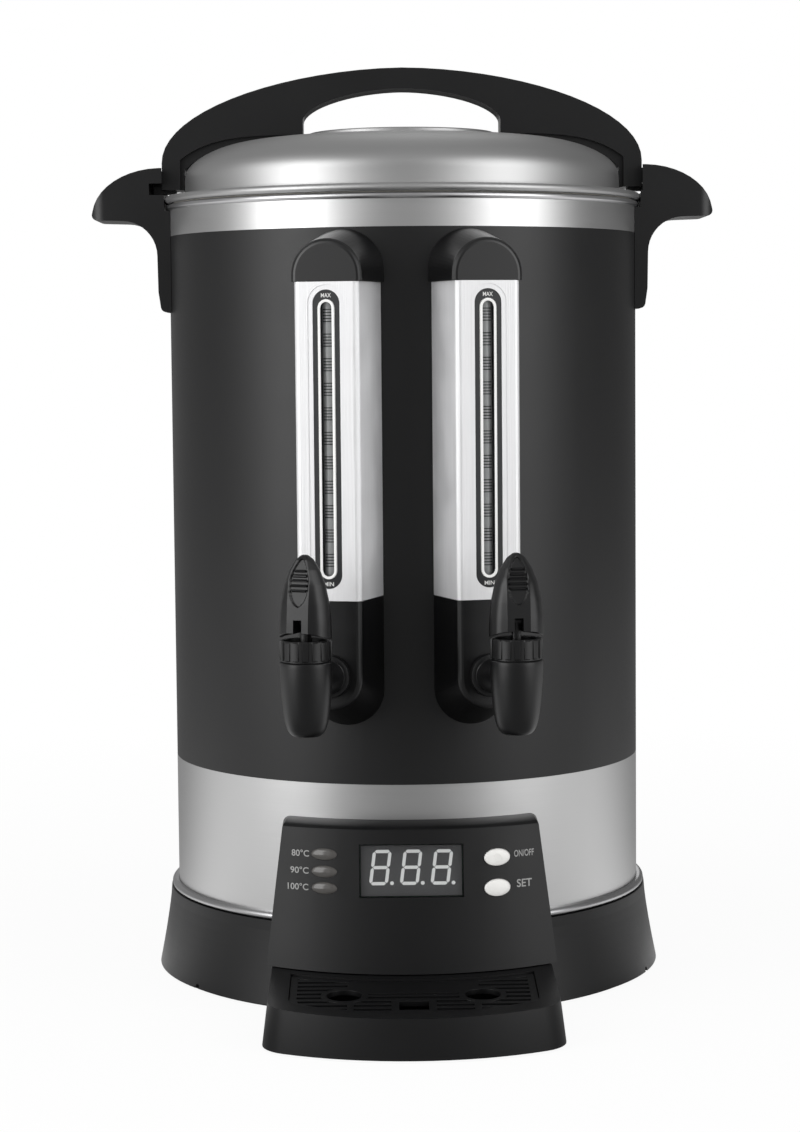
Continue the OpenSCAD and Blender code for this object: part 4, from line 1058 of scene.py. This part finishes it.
@dataclass
class Lid:
    """The spun lid with its arched handle.

    Attributes:
        wall_r: The radius of the upright wall.
        crown_r: The radius where the crown meets the wall.
        wall_top_z: The height of the crown's foot.
        rise: The crown's rise.
        fullness, shoulder: The powers of the crown's rule.
        shoulder_start, shoulder_end_z: Where the rounded shoulder leaves the crown and meets the wall.
        disc_r: The radius of the raised disc.
        disc_step, disc_rise: The disc's step and its rise to the middle.
        disc_edge: How far inside the disc's radius its flat ends.
        disc_foot_r: Where the disc's edge meets the crown.
        sheet: The sheet's thickness.
        flange_z: The height of the flat flange between the wall and the bead.
        bead_x, bead_r: The middle of the bead's roll and its radius.
        skirt_r, skirt_z: The radius and the foot of the skirt inside the tank.
    """

    wall_r: float = 116.6
    crown_r: float = 115.9
    wall_top_z: float = 428.9
    rise: float = 16.0
    fullness: float = 6.6
    shoulder: float = 0.97
    shoulder_start: float = 109.5
    shoulder_end_z: float = 422.5
    disc_r: float = 50.0
    disc_step: float = 3.0
    disc_rise: float = 2.0
    disc_edge: float = 1.2
    disc_foot_r: float = 51.4
    sheet: float = 0.9
    flange_z: float = 412.9
    bead_x: float = 125.6
    bead_r: float = 2.0
    skirt_r: float = 114.6
    skirt_z: float = 404.0

    def crown_z(self, radius: float) -> float:
        """Height of the crown's outer face at a radius."""
        share = min(radius / self.crown_r, 1)
        return self.wall_top_z + self.rise * (1 - share ** self.fullness) ** self.shoulder

    def disc_z(self, radius: float) -> float:
        """Height of the raised disc's outer face at a radius."""
        top = self.crown_z(self.disc_r) + self.disc_step
        return top + self.disc_rise * (1 - (radius / self.disc_r) ** 2)

    def disc_line(self) -> Line:
        """The raised disc's line from the middle to the crown."""
        top, foot, steps = self.disc_z(self.disc_r), self.crown_z(self.disc_foot_r), 12
        radii = [(self.disc_r - self.disc_edge) * i / steps for i in range(steps + 1)]
        # Each row: a level, and how far outwards and upwards of the disc's edge at that level.
        edge = (
            (top, -0.5, 0.06), (top, -0.05, -0.25), (top, 0.15, -0.7),
            (foot, 0.3, 0.1), (foot, 0.5, -0.3), (foot, 0.8, -0.3), (foot, 1.0, 0.0),
        )
        line = [(r, self.disc_z(r)) for r in radii]
        line += [(self.disc_r + out, level + up) for level, out, up in edge]
        return line + [(self.disc_foot_r, foot)]

    def shoulder_line(self) -> Line:
        """The rounded shoulder, which leaves the crown on its slope and meets the wall upright."""
        start = Vector((self.shoulder_start, self.crown_z(self.shoulder_start)))
        end = Vector((self.wall_r - 0.25, self.shoulder_end_z))
        slope = self.crown_z(self.shoulder_start + 0.5) - self.crown_z(self.shoulder_start - 0.5)
        corner, steps = Vector((end.x, start.y + slope * (end.x - start.x))), 12
        shares = [i / steps for i in range(steps + 1)]
        return [tuple(start.lerp(corner, share).lerp(corner.lerp(end, share), share)) for share in shares]

    def rim_line(self) -> Line:
        """The line over the shoulder, down the wall, round the bead and along the inside to the middle."""
        flat, sheet, wall, skirt = self.flange_z, self.sheet, self.wall_r, self.skirt_r
        foot = [(wall - 0.1, flat + 4.0), (wall + 0.4, flat + 1.4), (wall + 1.8, flat + 0.2)]
        bead = arc(self.bead_r, 150, -150, 16, (self.bead_x, flat - 0.1))
        under = [
            (skirt + 0.6, flat - sheet), (skirt, flat - sheet - 0.6), (skirt, self.skirt_z),
            (skirt - sheet, self.skirt_z), (skirt - sheet, flat - sheet), (wall - sheet - 0.4, flat + 1.5),
        ]
        inner = [
            (r - sheet, self.crown_z(r) - sheet)
            for r in (self.crown_r * share for share in (1.0, 0.985, 0.96, 0.92, 0.86, 0.78))
        ]
        inner += [(r, self.crown_z(r) - sheet) for r in (80, 66, self.disc_foot_r)]
        inner += [(r, self.disc_z(r) - sheet) for r in (self.disc_r - self.disc_edge, 44, 33, 22, 11, 0)]
        return self.shoulder_line() + foot + bead + under + inner

    def build(self) -> None:
        """Makes the lid and dresses what rides with it."""
        shape = Shape().lathe(self.disc_line(), BODY_STEPS).lathe(self.rim_line(), BODY_STEPS)
        shell = shape.object("lid_shell")
        shell = grow(shell, CROWN, {
            "Steps Round": BODY_STEPS + 1, "Steps Out": 44, "Inner Radius": self.disc_foot_r * MM,
            "End Radius": self.shoulder_start * MM, "Outer Radius": self.crown_r * MM,
            "Foot Height": self.wall_top_z * MM, "Rise": self.rise * MM, "Fullness": self.fullness,
            "Shoulder": self.shoulder, "Material": SPUN_STEEL.material(),
        })
        close_up(shell.data)
        install(dress_mesh(shell, SPUN_STEEL, smooth_deg=58), "lid", "lid_steel", "lid_dome")
        soften("lid_handle", "lid", MOULDED_ABS, Rounding(2.6, 4))
        paint(ZINC, "lid_handle_screws")
        paint(SILICONE, "lid_seal")


@dataclass
class SideHandles:
    """The two carrying handles with the lid's locking slots."""

    def build(self) -> None:
        """Rounds and dresses the handles."""
        for side in Side:
            soften(f"{side.word}_side_handle", "root", MOULDED_ABS, Rounding(2.4, 4))
        paint(ZINC, "side_handle_screws")


@dataclass
class GaugePart:
    """What stands at one gauge's place and turns with it.

    Attributes:
        side: Which of the two it is.
        turn_deg: The gauge's angle from the middle of the front.
        face_y: The place of the gauge's face, before that turn.
    """

    side: Side
    turn_deg: float = 14.5
    face_y: float = -157.0

    @property
    def place(self) -> Matrix:
        """The turn from the middle of the front to the gauge."""
        return Matrix.Rotation(math.radians(self.side.value * self.turn_deg), 4, "Z")


@dataclass
class LevelGauge(GaugePart):
    """A level gauge: its housing, polished cover, scale and sight tube.

    Attributes:
        tube_y: The place of the tube's axis.
        tube_r: The tube's radius.
        mark_half_deg: Half the angle of a mark round the tube.
        mark_t: A mark's thickness up the tube.
        mark_pitch: The step between marks.
        marks: The marks in a group.
        group_pitch: The step between groups.
        groups: The number of groups.
        first_z: The height of the lowest mark.
        glass_w, glass_z: The sight glass's width and its ends' heights.
        rim_w: The width of the white rim round it.
        plate_sink: How far behind the face the words lie.
        word_size: The width and height of a word.
        words: Each word and its height.
    """

    tube_y: float = -150.0
    tube_r: float = 4.0
    mark_half_deg: float = 37.0
    mark_t: float = 0.5
    mark_pitch: float = 1.46
    marks: int = 5
    group_pitch: float = 11.9
    groups: int = 11
    first_z: float = 227.5
    glass_w: float = 5.7
    glass_z: tuple[float, float] = (222.9, 356.2)
    rim_w: float = 1.35
    plate_sink: float = 0.56
    word_size: tuple[float, float] = (5.0, 2.0)
    words: tuple[tuple[str, float], ...] = (("MAX", 359.4), ("MIN", 219.2))

    def build(self) -> None:
        """Dresses the gauge and prints its scale."""
        word = self.side.word
        paint(POLISHED_ABS, f"{word}_gauge_housing", f"{word}_gauge_cap")
        paint(POLISHED_STEEL, f"{word}_gauge_cover")
        paint(SCALE_PLATE, f"{word}_scale_plate")
        paint(POLYCARBONATE, f"{word}_sight_tube")
        paint(SILICONE, f"{word}_tube_seals")
        paint(BRASS, f"{word}_tank_fittings")
        install(self.level_marks(), "root", "scale_black")
        install(self.rim(), "root", "button_white")
        for words, z in self.words:
            install(self.word(words, z), "root", "button_white")

    def level_marks(self) -> bpy.types.Object:
        """Prints the groups of marks on the front of the tube."""
        start, end = -90 - self.mark_half_deg, -90 + self.mark_half_deg
        outline = arc(self.tube_r + 0.06, start, end, 8) + arc(self.tube_r - 0.05, end, start, 8)
        place = self.place @ Matrix.Translation((0, self.tube_y, 0))
        mark = Shape().prism(outline, self.first_z, self.first_z + self.mark_t, place)
        piece = grow(mark.object(f"{self.side.word}_level_marks"), ROWS, {
            "Copies": self.marks, "Step": (0, 0, self.mark_pitch * MM), "Groups": self.groups,
            "Group Step": (0, 0, self.group_pitch * MM), "Material": BLACK_INK.material(),
        })
        return dress_mesh(piece, BLACK_INK)

    def rim(self) -> bpy.types.Object:
        """Makes the white rim round the sight glass."""
        (low, high), width, half = self.glass_z, self.rim_w, self.glass_w / 2
        # Each row: the radius of the round ends, and how far behind the face they lie.
        rows = (
            (half, 0.9), (half, 0.1), (half + 0.35, -0.05), (half + width - 0.3, -0.05),
            (half + width + 0.05, 0.2), (half + width + 0.05, 0.9), (half, 0.9),
        )
        rings = []
        for radius, behind in rows:
            outline = arc(radius, 0, 180, 12, (0, high - half)) + arc(radius, 180, 360, 12, (0, low + half))
            rings.append([(x, self.face_y + behind, z) for x, z in outline])
        piece = Shape().loft(rings, self.place, capped=False).object(f"{self.side.word}_scale_rim")
        return dress_mesh(piece, SCALE_RIM)

    def word(self, words: str, z: float) -> bpy.types.Object:
        """Prints a word on the scale plate at a height."""
        def on_plate(across: float, up: float) -> Vector:
            """A place on the plate's face."""
            return self.place @ Vector((across, self.face_y + self.plate_sink, z + up))

        name = f"{self.side.word}_{words.lower()}_word"
        return dress_mesh(lettering(name, words, self.word_size, on_plate), WHITE_INK)


@dataclass
class LeverTap(GaugePart):
    """A lever tap: its spout, ribbed bonnet, stem and lever.

    Attributes:
        tap_y: The place of the tap's axis.
        shank_z: The height of the shank's axis.
        shank_end_y: The place of the shank's inner end, inside the tank.
        spring_z, stem_lift: The spring's ends at rest, and how far the stem lifts; neither is used.
        neck_r, collar_r: The neck's radius, and the collar's against the gauge.
        spout_top_z: The height of the spout's rim under the bonnet.
        outlet_r, outlet_z: The outlet's radius and height.
        seat_z: The height of the seat inside.
        bonnet_r, bonnet_top_z: The bonnet's radius and the height of its top.
        ribs, rib_half_deg: The number of grip ribs, and half of one's angle.
        lever_low, lever_high: The lever's foot and tip.
        lever_turn_deg: How far the lever is turned about the tap's axis.
        foot_arch, foot_fade: The rise of the foot's arch, and the height over which it fades.
        lever_rows: The lever's half width and half depth by height over its foot.
        slot_w, slot_back, slot_top: The slot in which the lever straddles the stem.
        pad_low, pad_high, pad_half, pad_depth: The leaf-shaped thumb pad's ends, half width and depth.
        ridge_low, ridge_h, ridge_pitch, ridges: The pad's ridges: lowest one, height, step and number.
    """

    tap_y: float = -199.0
    shank_z: float = 174.0
    shank_end_y: float = -111.0
    spring_z: tuple[float, float] = (176.1, 185.6)
    stem_lift: float = 4.2
    neck_r: float = 8.2
    collar_r: float = 10.6
    spout_top_z: float = 186.2
    outlet_r: float = 5.0
    outlet_z: float = 150.7
    seat_z: float = 168.5
    bonnet_r: float = 12.5
    bonnet_top_z: float = 196.6
    ribs: int = 16
    rib_half_deg: float = 8.2
    lever_low: float = 197.0
    lever_high: float = 236.7
    lever_turn_deg: float = -9.0
    foot_arch: float = 3.2
    foot_fade: float = 8.0
    lever_rows: tuple[tuple[float, float, float], ...] = (
        (0, 13.1, 9.6), (9, 12.9, 9.4), (17, 12.1, 8.7), (26, 10.2, 7.3), (33, 7.4, 5.5), (37.8, 4.3, 3.4),
        (39.7, 1.7, 1.6),
    )
    slot_w: float = 4.3
    slot_back: float = 3.4
    slot_top: float = 206.7
    pad_low: float = 212.8
    pad_high: float = 235.4
    pad_half: float = 5.1
    pad_depth: float = 1.0
    ridge_low: float = 220.4
    ridge_h: float = 0.95
    ridge_pitch: float = 2.3
    ridges: int = 5

    @property
    def axis_place(self) -> Matrix:
        """The tap's axis."""
        return self.place @ Matrix.Translation((0, self.tap_y, 0))

    def build(self) -> None:
        """Makes the tap's visible pieces and a copy of its spring with its own mesh, and dresses the rest."""
        word = self.side.word
        install(self.spout(), "root", "black_plastic", f"{word}_tap_body")
        install(self.bonnet(), "root", "black_plastic", f"{word}_tap_bonnet")
        install(self.lever(), f"{word}_lever", "black_plastic", f"{word}_tap_lever")
        paint(ACETAL, f"{word}_tap_stem")
        paint(SILICONE, f"{word}_seat_cup")
        paint(ZINC, f"{word}_tap_pin")
        spring = softened_copy(f"{word}_tap_spring", ZINC)
        install(spring, "root", "fastener_steel", f"{word}_tap_spring")
        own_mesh(spring)

    def spout(self) -> bpy.types.Object:
        """Makes the spout with its neck and collar, from lines of (radius, place along the axis)."""
        outside = smooth_line([
            (8.2, self.outlet_z + 1.5), (9.4, 154.4), (10.6, 159), (11.6, 167), (12.4, 177), (12.66, 184.8),
        ], 5)
        profile = [
            (self.outlet_r, self.outlet_z + 12), (self.outlet_r, self.outlet_z + 0.3),
            (self.outlet_r + 0.4, self.outlet_z), (6.2, self.outlet_z), (6.9, self.outlet_z + 0.3),
            *outside, (12.6, self.spout_top_z - 0.4), (12.2, self.spout_top_z), (8.6, self.spout_top_z),
            (8.6, self.seat_z), (4.2, self.seat_z), (4.2, self.outlet_z + 12),
            (self.outlet_r, self.outlet_z + 12),
        ]
        shape = Shape().lathe(profile, 64, self.axis_place)
        back, reach = self.shank_end_y - self.tap_y, self.face_y - self.tap_y - 0.1
        neck = [
            (4.0, 8.9), (self.neck_r - 0.6, 8.9), (self.neck_r, 10.5), (self.neck_r, reach - 3.8),
            (self.neck_r + 0.3, reach - 3.4), (self.collar_r - 1.0, reach - 3.3),
            (self.collar_r - 0.3, reach - 2.9),
            (self.collar_r, reach - 2.2), (self.collar_r, reach), (6.48, reach),
            (6.48, back), (4.0, back), (4.0, 8.9),
        ]
        lie = Matrix.Translation((0, 0, self.shank_z)) @ Matrix.Rotation(math.radians(-90), 4, "X")
        shape.lathe(neck, 56, self.axis_place @ lie)
        return dress_mesh(shape.object(f"{self.side.word}_tap_spout"), MOULDED_ABS, smooth_deg=32)

    def bonnet(self) -> bpy.types.Object:
        """Makes the screwed bonnet with its grip ribs."""
        low, high, core = self.spout_top_z + 0.1, self.bonnet_top_z, self.bonnet_r - 0.7
        half, sunk, rows = math.radians(self.rib_half_deg), core - 0.2, []
        crests = (
            (low + 0.9, core + 0.2), (low + 1.3, self.bonnet_r), (high - 0.7, self.bonnet_r),
            (high - 0.1, core + 0.1),
        )
        for z, crest in crests:
            flank = crest - 0.12
            across = ((-1, sunk), (-0.75, flank), (0, crest), (0.75, flank), (1, sunk))
            rows.append([(r * math.cos(half * share), r * math.sin(half * share), z) for share, r in across])
        rib = Shape().loft(rows).object(f"{self.side.word}_tap_bonnet_ribs")
        centre = self.place @ Vector((0, self.tap_y, 0)) * MM
        ribs = grow(
            rib, RING, {"Copies": self.ribs, "Centre": tuple(centre), "Material": MOULDED_ABS.material()},
        )
        profile = [
            (3.05, low - 0.6), (8.5, low - 0.6), (8.5, low), (core - 0.3, low), (core, low + 0.3),
            (core, high - 0.5), (core - 0.4, high), (self.bonnet_r - 2.0, high),
            (self.bonnet_r - 2.3, high - 0.3),
            (self.bonnet_r - 2.3, high - 3.5), (3.05, high - 3.5), (3.05, low - 0.6),
        ]
        cap = Shape().lathe(profile, 64, self.axis_place).object(f"{self.side.word}_tap_bonnet_cap")
        work = bmesh.new()
        for part in (cap, ribs):
            work.from_mesh(part.data)
        work.to_mesh(cap.data)
        work.free()
        bpy.data.objects.remove(ribs)
        return dress_mesh(cap, MOULDED_ABS, smooth_deg=30)

    def lever_width(self, z: float) -> tuple[float, float]:
        """The lever's half width and half depth at a height."""
        rows = self.lever_rows
        up = z - self.lever_low
        for (z0, w0, d0), (z1, w1, d1) in zip(rows, rows[1:]):
            if up <= z1 + 1e-6:
                share = (up - z0) / (z1 - z0)
                return w0 + (w1 - w0) * share, d0 + (d1 - d0) * share
        return rows[-1][1], rows[-1][2]

    def pad_sink(self, x: float, z: float) -> float:
        """How deep the thumb pad lies under the lever's face at a place, with its ridges."""
        share = (z - self.pad_low) / (self.pad_high - self.pad_low)
        if not 0 < share < 1:
            return 0.0
        half = self.pad_half * math.sin(math.pi * share ** 0.85) ** 0.62
        inside = min(max((half - abs(x)) / 0.7, 0), 1)
        sink = self.pad_depth * inside * inside * (3 - 2 * inside)
        along = (z - self.ridge_low) / self.ridge_pitch
        if -0.5 < along < self.ridges - 0.5 and abs(x) < half - 1.1:
            sink -= self.ridge_h * max(math.cos(math.tau * along), 0) ** 0.7
        return sink

    def lever(self) -> bpy.types.Object:
        """Makes the lever: a flat-faced ogive with an arched foot, a thumb pad and a slot for the stem."""
        heights = [self.lever_low, self.lever_low + 0.5]
        heights += [self.lever_low + 1.5 * i for i in range(1, 5)] + [self.slot_top - 0.001, self.slot_top]
        heights += [self.slot_top + (self.lever_high - self.slot_top) * (i / 88) for i in range(1, 89)]
        rings = [self.lever_ring(z) for z in heights]
        tip = self.lever_high + 0.3
        rings.append([(x * 0.45, y * 0.45, tip) for x, y, _ in rings[-1]])
        turned = self.axis_place @ Matrix.Rotation(math.radians(self.lever_turn_deg), 4, "Z")
        piece = Shape().loft(rings, turned).object(f"{self.side.word}_tap_lever_body")
        return dress_mesh(piece, MOULDED_ABS, smooth_deg=24)

    def lever_ring(self, z: float) -> list[tuple[float, float, float]]:
        """The lever's outline at a height, with the same points at every height."""
        width, depth = self.lever_width(z)
        shrink = 0.35 if z < self.lever_low + 0.2 else 0.0
        width, depth = width - shrink, depth - shrink
        half = min(5.5, 0.6 * width)
        slot = min(self.slot_w / 2, half * 0.8)
        is_open = z < self.slot_top - 0.0005
        flat = [slot + (half - slot) * i / 8 for i in range(9)]
        side_line = smooth_line([
            (half, -depth), (0.78 * width, -0.72 * depth), (width * 0.985, -0.18 * depth),
            (width * 0.97, 0.2 * depth), (0.78 * width, 0.68 * depth), (0.42 * width, 0.94 * depth),
            (0.0, depth),
        ], 4)[1:]
        right = [(x, -depth + self.pad_sink(x, z)) for x in flat] + side_line
        left = [(-x, y) for x, y in reversed(right[:-1])]
        inner = [slot * share for share in (-1, -0.75, -0.5, -0.25, 0, 0.25, 0.5, 0.75, 1)]
        floor = [(x, self.slot_back if is_open else -depth + self.pad_sink(x, z)) for x in inner]
        raised = self.foot_arch * max(1 - (z - self.lever_low) / self.foot_fade, 0)
        return [(x, y, z + raised * (1 - (x / self.lever_rows[0][1]) ** 4)) for x, y in right + left + floor]


# The console's printed labels: name, words, width and height, and place across and up.
LABELS = (
    ("label_80", "80°C", (8.8, 3.3), -55.3, 82.8),
    ("label_90", "90°C", (9.2, 3.3), -55.8, 74.4),
    ("label_100", "100°C", (10.4, 3.3), -56.6, 66.3),
    ("label_on_off", "ON/OFF", (10.1, 3.3), 56.5, 81.6),
    ("label_set", "SET", (7.7, 3.9), 56.5, 66.9),
)
# The forms of a button and of a lamp's lens: a share of the size, and a height over the console's face.
BUTTON_FORM = (
    (0.001, 1.55), (0.3, 1.5), (0.6, 1.36), (0.82, 1.12), (0.94, 0.86), (1.0, 0.45), (1.0, -2.85),
    (1.14, -2.9),
    (1.14, -3.45), (0.001, -3.5),
)
LENS_FORM = (
    (0.001, 0.95), (0.35, 0.85), (0.65, 0.6), (0.86, 0.25), (0.97, -0.1), (1.0, -0.5), (1.0, -3.5),
    (0.001, -3.5),
)


@dataclass
class Console:
    """The control console with its display, lamps and buttons.

    Attributes:
        top_z, foot_z: The heights between which the face leans.
        top_r: The face's radius at the top.
        lean: How far the foot stands out beyond the top.
        window_z: The height of the window's middle.
        glass_x: The window's half width.
        window_t: The window's thickness.
        button_x, button_size: The buttons' place across, and their width and height.
        buttons: Each button's node and its height.
        stalk_y, stalk_d: The ends of a button's stalk and its diameter.
        lens_x, lens_size, lens_z: The lamps' place across, their size and their heights.
        digit_w, digit_h, digit_pitch, digits_shown: A digit's width and height, their step and number.
        first_digit: The middle of the first digit on the display.
        stroke, gap, slant: The segments' width, the gap at their ends, and the digits' slant.
        segment_y: How far behind the window the segments' front and back lie.
        dot_step, dot_d: A dot's place from its digit's middle, and its diameter.
    """

    top_z: float = 96.2
    foot_z: float = 25.5
    top_r: float = 140.0
    lean: float = 10.0
    window_z: float = 74.8
    glass_x: float = 29.0
    window_t: float = 1.4
    button_x: float = 42.8
    button_size: tuple[float, float] = (13.0, 8.3)
    buttons: tuple[tuple[str, float], ...] = (("on_off_button", 80.5), ("set_button", 65.6))
    stalk_y: tuple[float, float] = (-137.6, -131.2)
    stalk_d: float = 4.0
    lens_x: float = -43.4
    lens_size: tuple[float, float] = (13.0, 6.0)
    lens_z: tuple[float, ...] = (66.1, 74.2, 82.7)
    digit_h: float = 17.5
    digit_w: float = 9.4
    digit_pitch: float = 15.3
    digits_shown: int = 3
    first_digit: tuple[float, float] = (-15.4, 1.6)
    stroke: float = 1.6
    gap: float = 0.18
    slant: float = 0.13
    segment_y: tuple[float, float] = (0.04, 0.4)
    dot_step: tuple[float, float] = (5.7, -7.8)
    dot_d: float = 1.9

    def face(self, x: float, z: float, proud: float = 0.0) -> Vector:
        """A place on the console's face, or proud of it."""
        radius = self.top_r + self.lean * (self.top_z - z) / (self.top_z - self.foot_z) + proud
        return Vector((x, -math.sqrt(radius ** 2 - x ** 2), z))

    @property
    def window_place(self) -> Matrix:
        """The display's plane: X across, Z up the slope, and -Y out of it."""
        tilt = math.atan(self.lean / (self.top_z - self.foot_z))
        corner = self.face(self.glass_x, self.window_z)
        return Matrix.Translation((0, corner.y + 1.0, self.window_z)) @ Matrix.Rotation(-tilt, 4, "X")

    def build(self) -> None:
        """Makes the console's visible pieces."""
        soften("front_console", "root", BASE_NYLON, Rounding(0.9, 3, 50))
        paint(SMOKED_ACRYLIC, "display_window")
        paint(DISPLAY_FACE, "led_display")
        paint(ZINC, "console_screws")
        install(self.digits(), "root", "button_white")
        install(self.lamps(), "root", "indicator_grey", "indicator_lenses")
        for node, z in self.buttons:
            install(self.button(node, z), node, "button_white", node)
        for label in LABELS:
            install(self.label(*label), "root", "button_white")

    def pillow(self, size: Point, x: float, z: float, rows: Sequence[Point]) -> list[list[Vector]]:
        """Rings of an oval that follows the face. A row: a share of the size, a height over the face."""
        return [
            [self.face(x + share * ox, z + share * oz, proud) for ox, oz in oval(*size)]
            for share, proud in rows
        ]

    def button(self, node: str, z: float) -> bpy.types.Object:
        """Makes a domed push button with its rim and stalk."""
        shape = Shape().loft(self.pillow(self.button_size, self.button_x, z, BUTTON_FORM), capped=False)
        start, end = self.stalk_y
        lie = Matrix.Translation((self.button_x, end, z)) @ Matrix.Rotation(math.radians(90), 4, "X")
        shape.prism(oval(self.stalk_d, self.stalk_d, 20), 0, end - start, lie)
        return dress_mesh(shape.object(f"{node}_cap"), WHITE_ABS)

    def lamps(self) -> bpy.types.Object:
        """Makes the three pillow-shaped lamp lenses."""
        shape = Shape()
        for z in self.lens_z:
            shape.loft(self.pillow(self.lens_size, self.lens_x, z, LENS_FORM), capped=False)
        return dress_mesh(shape.object("lamp_lenses"), LAMP_LENS)

    def label(self, name: str, words: str, size: tuple[float, float], x: float, z: float) -> bpy.types.Object:
        """Prints words of a size on the face, about a place."""
        ink = lettering(name, words, size, lambda across, up: self.face(x + across, z + up, 0.04))
        return dress_mesh(ink, LABEL_INK)

    def digits(self) -> bpy.types.Object:
        """Makes the display's three slanted digits and their dots."""
        half = self.stroke / 2
        across, up = self.digit_w / 2 - half, self.digit_h / 2 - half
        bars = [((-across, z), (across, z)) for z in (-up, 0, up)]
        bars += [((x, z), (x, z + up)) for x in (-across, across) for z in (-up, 0)]
        shape, (mid_x, mid_z) = Shape(), self.first_digit
        for low, high in bars:
            run = (Vector(high) - Vector(low)).normalized()
            start, end = Vector(low) + run * self.gap, Vector(high) - run * self.gap
            along, side = run * half, Vector((-run.y, run.x)) * half
            outline = (
                start, start + along + side, end - along + side,
                end, end - along - side, start + along - side,
            )
            self.segment(shape, [(p.x + self.slant * p.y + mid_x, p.y + mid_z) for p in outline])
        dot = oval(self.dot_d, self.dot_d, 20)
        self.segment(shape, [(mid_x + self.dot_step[0] + x, mid_z + self.dot_step[1] + z) for x, z in dot])
        step = (self.digit_pitch * MM, 0, 0)
        # The segments' finish carries a painted glow that brightens them; the display gives off no light.
        piece = grow(shape.object("display_digits"), ROWS, {
            "Copies": self.digits_shown, "Step": step, "Groups": 1, "Group Step": (0, 0, 0),
            "Material": PAINTED_GLOW_SEGMENT.material(),
        })
        return dress_mesh(piece, PAINTED_GLOW_SEGMENT)

    def segment(self, shape: Shape, outline: Sequence[Point]) -> None:
        """Stands a flat outline a little proud of the display's face."""
        rings = [[(x, self.window_t + y, z) for x, z in outline] for y in self.segment_y]
        shape.loft(rings, self.window_place)


@dataclass
class DripTray:
    """The pull-out drip tray with its grille."""

    def build(self) -> None:
        """Rounds and dresses the tray and the grille."""
        soften("drip_tray", "tray", BASE_NYLON, Rounding(0.8, 3, 50))
        soften("drip_grille", "grille", MOULDED_ABS, Rounding(0.35, 2, 50))


def main() -> None:
    """Builds the studio and every sub-assembly, in order."""
    logging.basicConfig(level=logging.INFO, format="%(name)s: %(message)s")
    for assembly in (
        Studio(), Base(), BodyWalls(), InnerWorks(), SideHandles(),
        *(part(side) for side in Side for part in (LevelGauge, LeverTap)), Console(), DripTray(), Lid(),
    ):
        assembly.build()


if __name__ == "__main__":
    main()
